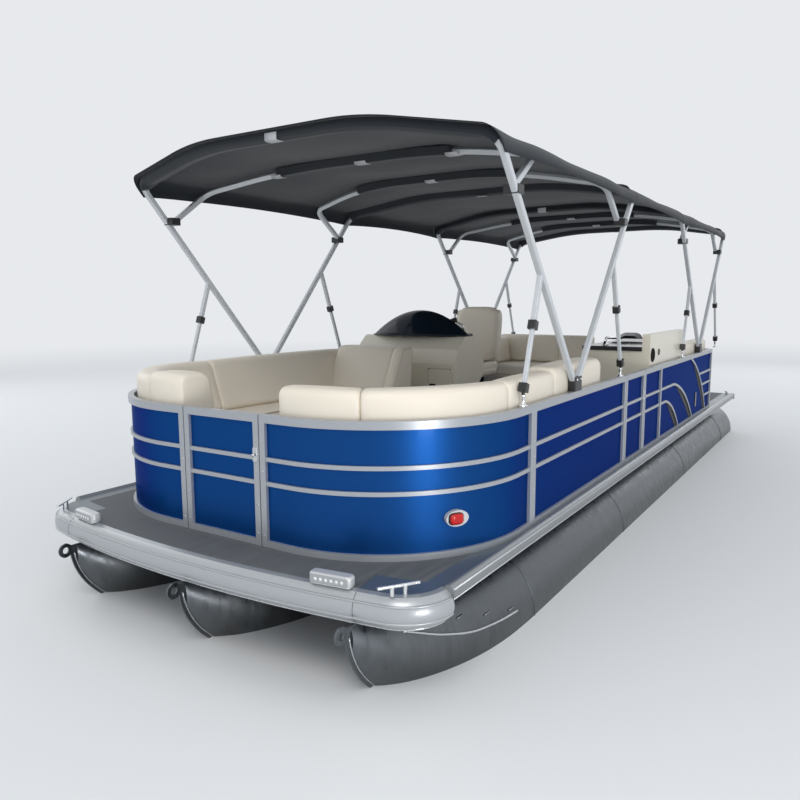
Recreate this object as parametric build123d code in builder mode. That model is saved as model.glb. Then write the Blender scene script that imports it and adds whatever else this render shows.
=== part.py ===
from math import asin, atan2, cos, degrees, hypot, radians, sin, sqrt
import os

from build123d import *

os.makedirs("parts", exist_ok=True)

# A three-tube aluminium pontoon boat with a bow gate, a port side gate, a stern gate, two folding
# tops and a tilted outboard. +X is the bow, +Y is port, +Z is up, and the keels stand on z = 0.
# Lengths along the boat are measured aft from the foremost point of the bow fascia.

# Hull
BOW_X = 4340.3
HALF_BEAM = 1285.0
TUBE_R = 317.5
TUBE_INSET = 352.5
TUBE_SPREAD = HALF_BEAM - TUBE_INSET
KEEL_DEPTH = 12.0
KEEL_WIDTH = 44.0
TUBE_STERN = 7710.0
CENTRE_STERN = 7060.0
NOSE_LENGTH = 1200.0
SIDE_TIP = 68.0
CENTRE_TIP = 16.0
STERN_DOME = 90.0
SEAM_WIDTH = 10.0
SEAM_PROUD = 14.0
SEAM_DEPTH = 35.0
EYE_R = 38.0
EYE_HOLE_R = 18.0
EYE_DROP = 20.0
RISER_WIDTH = 130.0
RISER_WALL = 6.0
RISER_SINK = 50.0
RISER_NOSE = 640.0

# Deck
DECK_TOP = 797.0
DECK_THICK = 22.0
DECK_STERN = 7510.0
CROSS_HEIGHT = 64.0
CROSS_WIDTH = 76.0
CROSS_WALL = 5.0
CROSS_COUNT = 12
FASCIA_R = 6500.0
FASCIA_DEPTH = 220.0
FASCIA_DROP = 140.0
CAP_R = 240.0
CAP_FLANGE = 130.0
CAP_SEAM_Y = HALF_BEAM - 325.0
RAIL_FLANGE = 135.0
RAIL_DROP = 62.0
RAIL_RISE = 14.0
SEAT_GAP = 0.3

# Fence
FENCE_FRONT = 297.0
FENCE_SIDE = HALF_BEAM - 55.0
FENCE_CORNER_R = 800.0
FENCE_HEIGHT = 634.0
FENCE_STERN = 6163.0
FRAME_DEPTH = 32.0
TOP_RAIL = 38.0
FOOT_RAIL = 30.0
STILE = 34.0
PANEL_INSET = 16.0
PANEL_THICK = 3.0
TRIM_PROUD = 12.0
TRIM_HEIGHT = 20.0
UPPER_TRIM = 424.0
LOWER_TRIM = 307.0
CORNER_POST = 1257.0
SIDE_GATE_FRONT = 2910.0
SIDE_GATE_REAR = 3398.0
AFT_POST = 3928.0
GATE_HALF = 255.0
GATE_GAP = 6.0
STERN_GATE_Y = 60.0
STERN_GATE_WIDTH = 520.0


def aft(distance):
    """X of a point that lies this far behind the front of the bow fascia."""
    return BOW_X - distance


def deck(height):
    """Z of a point this far above the deck."""
    return DECK_TOP + height


def save(piece, name):
    piece.part.label = name
    export_step(piece.part, f"parts/{name}.step")


TUBE_Z = KEEL_DEPTH + TUBE_R
CROSS_TOP = DECK_TOP - DECK_THICK
CROSS_FOOT = CROSS_TOP - CROSS_HEIGHT


# Tubes with nose cone, leading seam, lifting eye, keel strip and riser
def nose_face(x, y, share):
    """Lens-shaped section of a nose cone, share 0 at its tip and 1 where the tube begins."""
    drop = 2 * TUBE_R * sqrt(1 - (1 - share) ** 2)
    top = TUBE_Z + TUBE_R
    half_width = TUBE_R * (1 - (1 - share) ** 2.4)
    with BuildSketch(Plane.YZ.offset(x)) as face:
        with BuildLine():
            ThreePointArc((y, top), (y + half_width, top - drop / 2), (y, top - drop))
            ThreePointArc((y, top - drop), (y - half_width, top - drop / 2), (y, top))
        make_face()
    return face.sketch


def tube(y, tip, stern):
    """One flotation tube on the line y, its tip and stern this far behind the fascia's front."""
    base_x = aft(tip + NOSE_LENGTH)
    stern_x = aft(stern)
    top = TUBE_Z + TUBE_R
    side = Plane.XZ.offset(-y)
    nose_faces = [nose_face(base_x + NOSE_LENGTH * (1 - s), y, s) for s in (1.0, 0.7, 0.4, 0.15, 0.02)]
    with BuildPart() as body:
        with BuildSketch(Plane.YZ.offset(stern_x + STERN_DOME)):
            with Locations((y, TUBE_Z)):
                Circle(TUBE_R)
        extrude(amount=base_x - stern_x - STERN_DOME)
        loft(nose_faces)
        # Rounded stern cap
        with BuildSketch(side):
            with BuildLine():
                edge = (stern_x + STERN_DOME, top)
                crown = (stern_x, TUBE_Z)
                ThreePointArc(edge, (stern_x + 0.32 * STERN_DOME, TUBE_Z + 0.72 * TUBE_R), crown)
                Polyline(crown, (stern_x + STERN_DOME, TUBE_Z), edge)
            make_face()
        revolve(axis=Axis((0, y, TUBE_Z), (1, 0, 0)))
        # Leading seam that follows the nose's lower edge, with the keel strip behind it
        with BuildSketch(side):
            with BuildLine():
                centre = (base_x, top)
                outer = EllipticalCenterArc(
                    centre, NOSE_LENGTH + SEAM_PROUD, 2 * TUBE_R + KEEL_DEPTH, start_angle=270, arc_size=90
                )
                inner = EllipticalCenterArc(
                    centre, NOSE_LENGTH - SEAM_DEPTH, 2 * TUBE_R - SEAM_DEPTH, start_angle=270, arc_size=90
                )
                Line(outer @ 0, inner @ 0)
                Line(outer @ 1, inner @ 1)
            make_face()
        extrude(amount=SEAM_WIDTH / 2, both=True)
        with BuildSketch(Plane.XY):
            with Locations((stern_x + 2 * STERN_DOME, y)):
                Rectangle(base_x - stern_x - STERN_DOME, KEEL_WIDTH, align=(Align.MIN, Align.CENTER))
        extrude(amount=2 * KEEL_DEPTH)
        # Lifting eye on the seam's top
        with BuildSketch(side):
            with Locations((base_x + NOSE_LENGTH + EYE_R, top - EYE_DROP)):
                Circle(EYE_R)
                Rectangle(EYE_R * 2.4, EYE_R, align=(Align.MAX, Align.CENTER))
            with Locations((base_x + NOSE_LENGTH + EYE_R, top - EYE_DROP)):
                Circle(EYE_HOLE_R, mode=Mode.SUBTRACT)
        extrude(amount=SEAM_WIDTH / 2, both=True)
        # Riser that carries the cross members
        with BuildSketch(Plane.YZ.offset(stern_x + 2 * STERN_DOME)):
            with Locations((y, CROSS_FOOT)):
                Rectangle(RISER_WIDTH, RISER_WALL, align=(Align.CENTER, Align.MAX))
            with Locations((y - RISER_WIDTH / 3, CROSS_FOOT), (y + RISER_WIDTH / 3, CROSS_FOOT)):
                Rectangle(RISER_WALL, CROSS_FOOT - top + RISER_SINK, align=(Align.CENTER, Align.MAX))
        extrude(amount=base_x - stern_x - 2 * STERN_DOME + RISER_NOSE)
    return body


for name, y, tip, stern in (
    ("tube_port", TUBE_SPREAD, SIDE_TIP, TUBE_STERN),
    ("tube_center", 0.0, CENTRE_TIP, CENTRE_STERN),
    ("tube_starboard", -TUBE_SPREAD, SIDE_TIP, TUBE_STERN),
):
    save(tube(y, tip, stern), name)


# Cross members: hat channels from side to side under the deck
with BuildPart() as cross_members:
    span = aft(FASCIA_DEPTH + 260) - aft(DECK_STERN - 120)
    pitch = span / (CROSS_COUNT - 1)
    for index in range(CROSS_COUNT):
        x = aft(DECK_STERN - 120) + index * pitch
        with BuildSketch(Plane.XZ):
            with Locations((x, CROSS_FOOT)):
                Rectangle(CROSS_WIDTH, CROSS_HEIGHT, align=(Align.CENTER, Align.MIN))
            with Locations((x, CROSS_FOOT)):
                hollow = (CROSS_WIDTH - 2 * CROSS_WALL, CROSS_HEIGHT - CROSS_WALL)
                Rectangle(*hollow, align=(Align.CENTER, Align.MIN), mode=Mode.SUBTRACT)
        extrude(amount=HALF_BEAM - RAIL_FLANGE, both=True)
save(cross_members, "cross_members")

# Deck board, its bow edge curved to the fascia and its two bow corners cut for the caps
FASCIA_CENTRE_X = BOW_X - FASCIA_R
DECK_HALF = HALF_BEAM - RAIL_FLANGE
CAP_CENTRE_Y = HALF_BEAM - CAP_R
CAP_ANGLE = degrees(asin(CAP_CENTRE_Y / (FASCIA_R - CAP_R)))
SEAM_ANGLE = degrees(asin(CAP_SEAM_Y / FASCIA_R))
CAP_CENTRE_X = FASCIA_CENTRE_X + (FASCIA_R - CAP_R) * cos(radians(CAP_ANGLE))
FLANGE_R = FASCIA_R - FASCIA_DEPTH
FLANGE_SEAM = (
    FASCIA_CENTRE_X + FLANGE_R * cos(radians(SEAM_ANGLE)),
    FLANGE_R * sin(radians(SEAM_ANGLE)),
)
with BuildPart() as deck_board:
    with BuildSketch(Plane.XY.offset(CROSS_TOP)):
        with BuildLine():
            seam_x, seam_y = FLANGE_SEAM
            ThreePointArc((seam_x, -seam_y), (FASCIA_CENTRE_X + FLANGE_R, 0), (seam_x, seam_y))
            Polyline(
                (seam_x, seam_y),
                (CAP_CENTRE_X, DECK_HALF),
                (aft(DECK_STERN), DECK_HALF),
                (aft(DECK_STERN), -DECK_HALF),
                (CAP_CENTRE_X, -DECK_HALF),
                (seam_x, -seam_y),
            )
        make_face()
    extrude(amount=DECK_THICK)
save(deck_board, "deck_board")


# Fascia and corner caps: one curved extrusion with a flat flange and a round nose
def fascia_profile(outer_r, angle, flange, centre):
    """Section of the bow extrusion, on the upright plane through its centre at this angle."""
    a = radians(angle)
    plane = Plane(origin=(centre[0], centre[1], 0), x_dir=(cos(a), sin(a), 0), z_dir=(sin(a), -cos(a), 0))
    nose = outer_r - 60
    with BuildSketch(plane) as section:
        with BuildLine():
            lip = (outer_r - 44, DECK_TOP - FASCIA_DROP)
            belly = (outer_r, DECK_TOP - FASCIA_DROP / 2)
            brow = (outer_r - 40, DECK_TOP - 6)
            ThreePointArc(lip, belly, brow)
            Line(brow, (nose, DECK_TOP))
            Polyline(
                (nose, DECK_TOP),
                (outer_r - flange, DECK_TOP),
                (outer_r - flange, CROSS_TOP),
                (nose - 30, CROSS_TOP),
                (nose - 30, DECK_TOP - FASCIA_DROP),
                lip,
            )
        make_face()
    return section.sketch


with BuildPart() as bow_fascia:
    axis = Axis((FASCIA_CENTRE_X, 0, 0), (0, 0, 1))
    add(fascia_profile(FASCIA_R, -SEAM_ANGLE, FASCIA_DEPTH, (FASCIA_CENTRE_X, 0)))
    revolve(axis=axis, revolution_arc=2 * SEAM_ANGLE)
save(bow_fascia, "bow_fascia")

with BuildPart() as bow_corner_caps:
    for side in (1, -1):
        # Short run of the fascia's own curve, then the tight corner
        start = SEAM_ANGLE if side > 0 else -CAP_ANGLE
        add(fascia_profile(FASCIA_R, start, FASCIA_DEPTH, (FASCIA_CENTRE_X, 0)))
        revolve(axis=Axis((FASCIA_CENTRE_X, 0, 0), (0, 0, 1)), revolution_arc=CAP_ANGLE - SEAM_ANGLE)
        start = CAP_ANGLE if side > 0 else -90
        add(fascia_profile(CAP_R, start, CAP_FLANGE, (CAP_CENTRE_X, side * CAP_CENTRE_Y)))
        corner = Axis((CAP_CENTRE_X, side * CAP_CENTRE_Y, 0), (0, 0, 1))
        revolve(axis=corner, revolution_arc=90 - CAP_ANGLE)
        # Flat corner plate behind the nose
        with BuildSketch(Plane.XY.offset(CROSS_TOP)):
            with BuildLine():
                c, s = cos(radians(CAP_ANGLE)), sin(radians(CAP_ANGLE))
                Polyline(
                    (FLANGE_SEAM[0], side * FLANGE_SEAM[1]),
                    (FASCIA_CENTRE_X + (FASCIA_R - 80) * cos(radians(SEAM_ANGLE)), side * CAP_SEAM_Y),
                    (CAP_CENTRE_X + (CAP_R - 80) * c, side * (CAP_CENTRE_Y + (CAP_R - 80) * s)),
                    (CAP_CENTRE_X + 0.7 * (CAP_R - 80), side * (CAP_CENTRE_Y + 0.7 * (CAP_R - 80))),
                    (CAP_CENTRE_X, side * (HALF_BEAM - 80)),
                    (CAP_CENTRE_X, side * DECK_HALF),
                    close=True,
                )
            make_face()
        extrude(amount=DECK_THICK)
save(bow_corner_caps, "bow_corner_caps")

# Side rails: flat flange beside the deck board and a round rub rail outside it
with BuildPart() as side_rails:
    for side in (1, -1):
        with BuildSketch(Plane.YZ.offset(aft(DECK_STERN))):
            with BuildLine():
                top_y, top_z = side * (HALF_BEAM - 34), deck(RAIL_RISE)
                foot_z = deck(-RAIL_DROP)
                ThreePointArc((top_y, top_z), (side * HALF_BEAM, (top_z + foot_z) / 2), (top_y, foot_z))
                Polyline(
                    (top_y, foot_z),
                    (side * (DECK_HALF + 50), foot_z),
                    (side * (DECK_HALF + 50), CROSS_TOP),
                    (side * DECK_HALF, CROSS_TOP),
                    (side * DECK_HALF, DECK_TOP),
                    (side * (HALF_BEAM - 50), DECK_TOP),
                    (top_y, top_z),
                )
            make_face()
        extrude(amount=CAP_CENTRE_X - aft(DECK_STERN))
save(side_rails, "side_rails")

# Stern rail: a channel that closes the deck's aft edge between the side rails
STERN_RAIL_DEPTH = 36.0
with BuildPart() as stern_rail:
    with BuildSketch(Plane.XZ.offset(-HALF_BEAM)):
        with Locations((aft(DECK_STERN), deck(0))):
            Rectangle(STERN_RAIL_DEPTH, RAIL_DROP, align=(Align.MAX, Align.MAX))
    extrude(amount=2 * HALF_BEAM)
    fillet(stern_rail.edges().filter_by(Axis.Z).sort_by(Axis.X)[:2], radius=STERN_RAIL_DEPTH * 0.8)
save(stern_rail, "stern_rail")


# Fence plan: a straight front, one large corner arc and a straight side
def bow_band(inset, depth, y_start, x_end, side, z_low, z_high):
    """Upright band along the bow fence, inset from its outer face, from near the gate to x_end."""
    outer, inner = inset, inset + depth
    front = aft(FENCE_FRONT)
    centre_x, centre_y = front - FENCE_CORNER_R, FENCE_SIDE - FENCE_CORNER_R
    diagonal = sqrt(0.5)
    with BuildSketch(Plane.XY.offset(z_low)) as band:
        with BuildLine():
            for reach in (outer, inner):
                r = FENCE_CORNER_R - reach
                Line((front - reach, side * y_start), (front - reach, side * centre_y))
                ThreePointArc(
                    (front - reach, side * centre_y),
                    (centre_x + r * diagonal, side * (centre_y + r * diagonal)),
                    (centre_x, side * (FENCE_SIDE - reach)),
                )
                Line((centre_x, side * (FENCE_SIDE - reach)), (x_end, side * (FENCE_SIDE - reach)))
            Line((front - outer, side * y_start), (front - inner, side * y_start))
            Line((x_end, side * (FENCE_SIDE - outer)), (x_end, side * (FENCE_SIDE - inner)))
        make_face()
    extrude(band.sketch, amount=z_high - z_low)


def straight_band(start, end, inset, depth, z_low, z_high, plane):
    """Upright straight band on a fence plane whose X runs along the fence and whose Y points in."""
    with BuildSketch(plane.offset(z_low)) as band:
        with Locations((start, inset)):
            Rectangle(end - start, depth, align=(Align.MIN, Align.MIN))
    extrude(band.sketch, amount=z_high - z_low)


def frame_rails(band):
    """Foot rail and top rail, both from the same band function."""
    band(0, FRAME_DEPTH, deck(0), deck(FOOT_RAIL))
    band(0, FRAME_DEPTH, deck(FENCE_HEIGHT - TOP_RAIL), deck(FENCE_HEIGHT))


def trim_rails(band):
    """The two half-height trims that stand on the panels, both from the same band function."""
    for height in (UPPER_TRIM, LOWER_TRIM):
        low = deck(height - TRIM_HEIGHT / 2)
        band(PANEL_INSET - TRIM_PROUD, TRIM_PROUD, low, low + TRIM_HEIGHT)


# Swept trims on each side's aft run: distance aft and height of the head, distance aft of the foot
SWEEPS = (
    (4420.0, UPPER_TRIM, 5257.0),
    (4132.0, LOWER_TRIM, 4652.0),
    (5117.0, FENCE_HEIGHT - TOP_RAIL, 5914.0),
)
SWEEP_MIDDLE = (0.70, 0.48)
# Short trims behind them, which run to the fence's end: distance aft of the start, and height
STERN_TRIMS = ((5530.0, 415.0), (5680.0, 295.0), (5830.0, 172.0))


def side_trims(plane, bow_end):
    """Trims of one side's aft run: straight up to a sweep that curves down to the foot rail."""
    face = Plane(origin=plane.origin + plane.y_dir * PANEL_INSET, x_dir=plane.x_dir, z_dir=-plane.y_dir)
    way = plane.x_dir.X
    foot_z, stern_end = deck(FOOT_RAIL - TRIM_HEIGHT / 2), aft(FENCE_STERN - STILE)
    half = TRIM_HEIGHT / 2
    with BuildSketch(face) as trims:
        for head, height, foot in SWEEPS:
            middle = head + SWEEP_MIDDLE[0] * (foot - head)
            rise = deck(height) - foot_z
            with BuildLine():
                for out in (half, -half):
                    slant = out * sqrt(0.5)
                    ThreePointArc(
                        (way * aft(head), deck(height) + out),
                        (way * (aft(middle) - slant), foot_z + SWEEP_MIDDLE[1] * rise + slant),
                        (way * (aft(foot) - out), foot_z),
                    )
                Line((way * aft(head), deck(height) + half), (way * aft(head), deck(height) - half))
                Line((way * (aft(foot) - half), foot_z), (way * (aft(foot) + half), foot_z))
            make_face()
            if height < FENCE_HEIGHT - TOP_RAIL:
                with Locations((way * (aft(head) + bow_end) / 2, deck(height))):
                    Rectangle(abs(bow_end - aft(head)), TRIM_HEIGHT)
        for start, height in STERN_TRIMS:
            with Locations((way * (aft(start) + stern_end) / 2, deck(height))):
                Rectangle(abs(aft(start) - stern_end), TRIM_HEIGHT)
    extrude(trims.sketch, amount=TRIM_PROUD)


STILE_LOW, STILE_HIGH = DECK_TOP, deck(FENCE_HEIGHT)
PANEL_LOW, PANEL_HIGH = deck(FOOT_RAIL), deck(FENCE_HEIGHT - TOP_RAIL)
FENCE_START = GATE_HALF + GATE_GAP
PORT_PLANE = Plane(origin=(0, FENCE_SIDE, 0), x_dir=(-1, 0, 0), z_dir=(0, 0, 1))
STARBOARD_PLANE = Plane(origin=(0, -FENCE_SIDE, 0), x_dir=(1, 0, 0), z_dir=(0, 0, 1))
BOW_PLANE = Plane(origin=(aft(FENCE_FRONT), 0, 0), x_dir=(0, 1, 0), z_dir=(0, 0, 1))
STERN_PLANE = Plane(origin=(aft(FENCE_STERN), 0, 0), x_dir=(0, -1, 0), z_dir=(0, 0, 1))


def straight_panels(plane, start, end, posts):
    """Sheet panels between the stiles of one straight run, added to the panel part."""
    edges = [start, *posts, end - STILE]
    for left, right in zip(edges, edges[1:]):
        straight_band(left + STILE, right, PANEL_INSET, PANEL_THICK, PANEL_LOW, PANEL_HIGH, plane)


# Straight runs: name, plane, then start, end and inner posts along the plane's X for each stretch
RUNS = (
    (
        "fence_port_forward",
        PORT_PLANE,
        ((-aft(CORNER_POST) + SEAT_GAP, -aft(SIDE_GATE_FRONT) - GATE_GAP, ()),),
    ),
    (
        "fence_port_aft",
        PORT_PLANE,
        ((-aft(SIDE_GATE_REAR) + GATE_GAP, -aft(FENCE_STERN), (-aft(AFT_POST) - STILE / 2,)),),
    ),
    (
        "fence_starboard",
        STARBOARD_PLANE,
        ((aft(FENCE_STERN), aft(CORNER_POST) - SEAT_GAP, (aft(SIDE_GATE_REAR), aft(SIDE_GATE_FRONT))),),
    ),
    (
        "fence_stern",
        STERN_PLANE,
        (
            (-FENCE_SIDE + FRAME_DEPTH + SEAT_GAP, -STERN_GATE_Y - STERN_GATE_WIDTH - GATE_GAP, ()),
            (-STERN_GATE_Y + GATE_GAP, FENCE_SIDE - FRAME_DEPTH - SEAT_GAP, ()),
        ),
    ),
)

# Runs with swept trims, and the place along X where their straight trims begin at the bow end
SWEPT_RUNS = {
    "fence_port_aft": aft(SIDE_GATE_REAR) - GATE_GAP,
    "fence_starboard": aft(CORNER_POST) - SEAT_GAP,
}

# Gates: name, plane, hinge side start, latch side end and the direction from hinge to latch
GATES = (
    ("bow_gate", BOW_PLANE, -GATE_HALF, GATE_HALF, 1),
    ("side_gate", PORT_PLANE, -aft(SIDE_GATE_FRONT), -aft(SIDE_GATE_REAR), -1),
    ("stern_gate", STERN_PLANE, -STERN_GATE_Y - STERN_GATE_WIDTH, -STERN_GATE_Y, -1),
)
HINGE_R = 9.0
PIN_R = 5.0
PIN_CLEARANCE = 0.1
HINGE_STANDOFF = 10.0
HINGE_HEIGHT = 42.0
HINGE_LUG = 12.0
HINGE_HEIGHTS = (110.0, 480.0)


def hinge_place(start, end, toward_latch):
    """Place along the fence of a gate's hinge pins, in the middle of the gap on the hinge side."""
    return start - GATE_GAP / 2 if toward_latch > 0 else end + GATE_GAP / 2


def fixed_hinges(plane, start, end, toward_latch):
    """Pins and lugs on the fence's side of one gate, added to the fence part."""
    pin = hinge_place(start, end, toward_latch)
    inset = FRAME_DEPTH + HINGE_STANDOFF
    for height in HINGE_HEIGHTS:
        with BuildSketch(plane.offset(deck(height) - HINGE_LUG)) as pin_face:
            with Locations((pin, inset)):
                Circle(PIN_R)
        extrude(pin_face.sketch, amount=HINGE_HEIGHT + 2 * HINGE_LUG)
        for low in (deck(height) - HINGE_LUG, deck(height) + HINGE_HEIGHT + 0.5):
            with BuildSketch(plane.offset(low)) as lug:
                with Locations((pin, inset)):
                    Circle(HINGE_R - 2)
                edge = Align.MAX if toward_latch > 0 else Align.MIN
                with Locations((pin, inset + HINGE_R - 2)):
                    Rectangle(26, HINGE_STANDOFF + HINGE_R - 2, align=(edge, Align.MAX))
            extrude(lug.sketch, amount=HINGE_LUG - 0.5)


def gate_hinges(plane, start, end, toward_latch):
    """Knuckles on one gate, around the fence's pins."""
    pin = hinge_place(start, end, toward_latch)
    inset = FRAME_DEPTH + HINGE_STANDOFF
    for height in HINGE_HEIGHTS:
        with BuildSketch(plane.offset(deck(height))) as knuckle:
            with Locations((pin, inset)):
                Circle(HINGE_R)
            edge = Align.MIN if toward_latch > 0 else Align.MAX
            with Locations((pin, inset + 3)):
                Rectangle(34, HINGE_STANDOFF + 3, align=(edge, Align.MAX))
            with Locations((pin, inset)):
                Circle(PIN_R + PIN_CLEARANCE, mode=Mode.SUBTRACT)
        extrude(knuckle.sketch, amount=HINGE_HEIGHT)


for name, side in (("fence_bow_port", 1), ("fence_bow_starboard", -1)):
    with BuildPart() as bow_fence:
        end_x = aft(CORNER_POST)
        for rails in (frame_rails, trim_rails):
            rails(lambda inset, depth, low, high: bow_band(inset, depth, FENCE_START, end_x, side, low, high))
        with BuildSketch(Plane.XY.offset(STILE_LOW)):
            with Locations((aft(FENCE_FRONT), side * FENCE_START)):
                align = Align.MIN if side > 0 else Align.MAX
                Rectangle(FRAME_DEPTH, STILE, align=(Align.MAX, align))
            with Locations((end_x, side * FENCE_SIDE)):
                align = Align.MAX if side > 0 else Align.MIN
                Rectangle(STILE, FRAME_DEPTH, align=(Align.MIN, align))
        extrude(amount=STILE_HIGH - STILE_LOW)
        if side < 0:
            fixed_hinges(*GATES[0][1:])
    save(bow_fence, name)

for name, plane, stretches in RUNS:
    with BuildPart() as fence:
        for start, end, posts in stretches:
            kinds = (frame_rails,) if name in SWEPT_RUNS else (frame_rails, trim_rails)
            for rails in kinds:
                rails(lambda inset, depth, low, high: straight_band(start, end, inset, depth, low, high, plane))
            for place in (start, end - STILE, *posts):
                straight_band(place, place + STILE, 0, FRAME_DEPTH, STILE_LOW, STILE_HIGH, plane)
        if name in SWEPT_RUNS:
            side_trims(plane, SWEPT_RUNS[name])
        if name == "fence_port_aft":
            fixed_hinges(*GATES[1][1:])
        if name == "fence_stern":
            fixed_hinges(*GATES[2][1:])
    save(fence, name)

for name, plane, start, end, toward_latch in GATES:
    with BuildPart() as gate:
        for rails in (frame_rails, trim_rails):
            rails(lambda inset, depth, low, high: straight_band(start, end, inset, depth, low, high, plane))
        for place in (start, end - STILE):
            straight_band(place, place + STILE, 0, FRAME_DEPTH, STILE_LOW, STILE_HIGH, plane)
        gate_hinges(plane, start, end, toward_latch)
    save(gate, name + "_frame")
    with BuildPart() as gate_panel:
        straight_panels(plane, start, end, ())
    save(gate_panel, name + "_panel")

with BuildPart() as fence_panels:
    for side in (1, -1):
        bow_band(
            PANEL_INSET, PANEL_THICK, FENCE_START + STILE, aft(CORNER_POST) + STILE, side, PANEL_LOW, PANEL_HIGH
        )
    for name, plane, stretches in RUNS:
        for start, end, posts in stretches:
            straight_panels(plane, start, end, posts)
save(fence_panels, "fence_panels")

# Bow lounges: a base, a seat and a padded back on each side, all following the fence's curve
BASE_INSET = 60.0
BASE_DEPTH = 480.0
BASE_HEIGHT = 300.0
SEAT_HEIGHT = 430.0
SEAT_DEPTH = 560.0
BACK_DEPTH = 150.0
BACK_TOP = 765.0
BACK_INSET = 56.0
LOUNGE_BOW_END = 330.0
PORT_LOUNGE_END = 2500.0
STARBOARD_LOUNGE_END = 2620.0
LOUNGES = ((1, PORT_LOUNGE_END), (-1, STARBOARD_LOUNGE_END))

with BuildPart() as bow_lounge_bases:
    for side, end in LOUNGES:
        bow_band(BASE_INSET, BASE_DEPTH, LOUNGE_BOW_END + 30, aft(end), side, DECK_TOP, deck(BASE_HEIGHT))
save(bow_lounge_bases, "bow_lounge_bases")

with BuildPart() as bow_lounge_seats:
    for side, end in LOUNGES:
        low = deck(BASE_HEIGHT + SEAT_GAP)
        bow_band(BASE_INSET - 20, SEAT_DEPTH, LOUNGE_BOW_END, aft(end), side, low, deck(SEAT_HEIGHT))
save(bow_lounge_seats, "bow_lounge_seats")

with BuildPart() as bow_lounge_backs:
    for side, end in LOUNGES:
        low = deck(SEAT_HEIGHT + SEAT_GAP)
        bow_band(BACK_INSET, BACK_DEPTH, LOUNGE_BOW_END, aft(end), side, low, deck(BACK_TOP))
save(bow_lounge_backs, "bow_lounge_backs")

# Chaise back: the raked backrest that ends the starboard bow lounge, in front of the helm
CHAISE_X = 2560.0
CHAISE_TOP = 800.0
CHAISE_THICK = 150.0
CHAISE_RAKE = 90.0
CHAISE_INNER = 380.0
with BuildPart() as chaise_back:
    with BuildSketch(Plane.XZ.offset(CHAISE_INNER)):
        with BuildLine():
            foot, top = deck(SEAT_HEIGHT + SEAT_GAP), deck(CHAISE_TOP)
            Polyline(
                (aft(CHAISE_X - CHAISE_RAKE), foot),
                (aft(CHAISE_X), top),
                (aft(CHAISE_X + CHAISE_THICK), top),
                (aft(CHAISE_X + CHAISE_THICK - CHAISE_RAKE / 2), foot),
                close=True,
            )
        make_face()
    extrude(amount=FENCE_SIDE - BACK_INSET - BACK_DEPTH - SEAT_GAP - CHAISE_INNER)
save(chaise_back, "chaise_back")


# Steering wheel's own plane, square to its column, which faces aft and up
WHEEL_R = 175.0
WHEEL_RIM = 13.0
WHEEL_TILT = 36.0
WHEEL_Y = -660.0
WHEEL_X = 3480.0
WHEEL_HEIGHT = 815.0
COLUMN_R = 20.0
COLUMN_LENGTH = 150.0
HUB_R = 42.0
HUB_THICK = 24.0
wheel_rake = radians(WHEEL_TILT)
wheel_plane = Plane(
    origin=(aft(WHEEL_X), WHEEL_Y, deck(WHEEL_HEIGHT)),
    x_dir=(0, 1, 0),
    z_dir=(-cos(wheel_rake), 0, sin(wheel_rake)),
)

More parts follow.
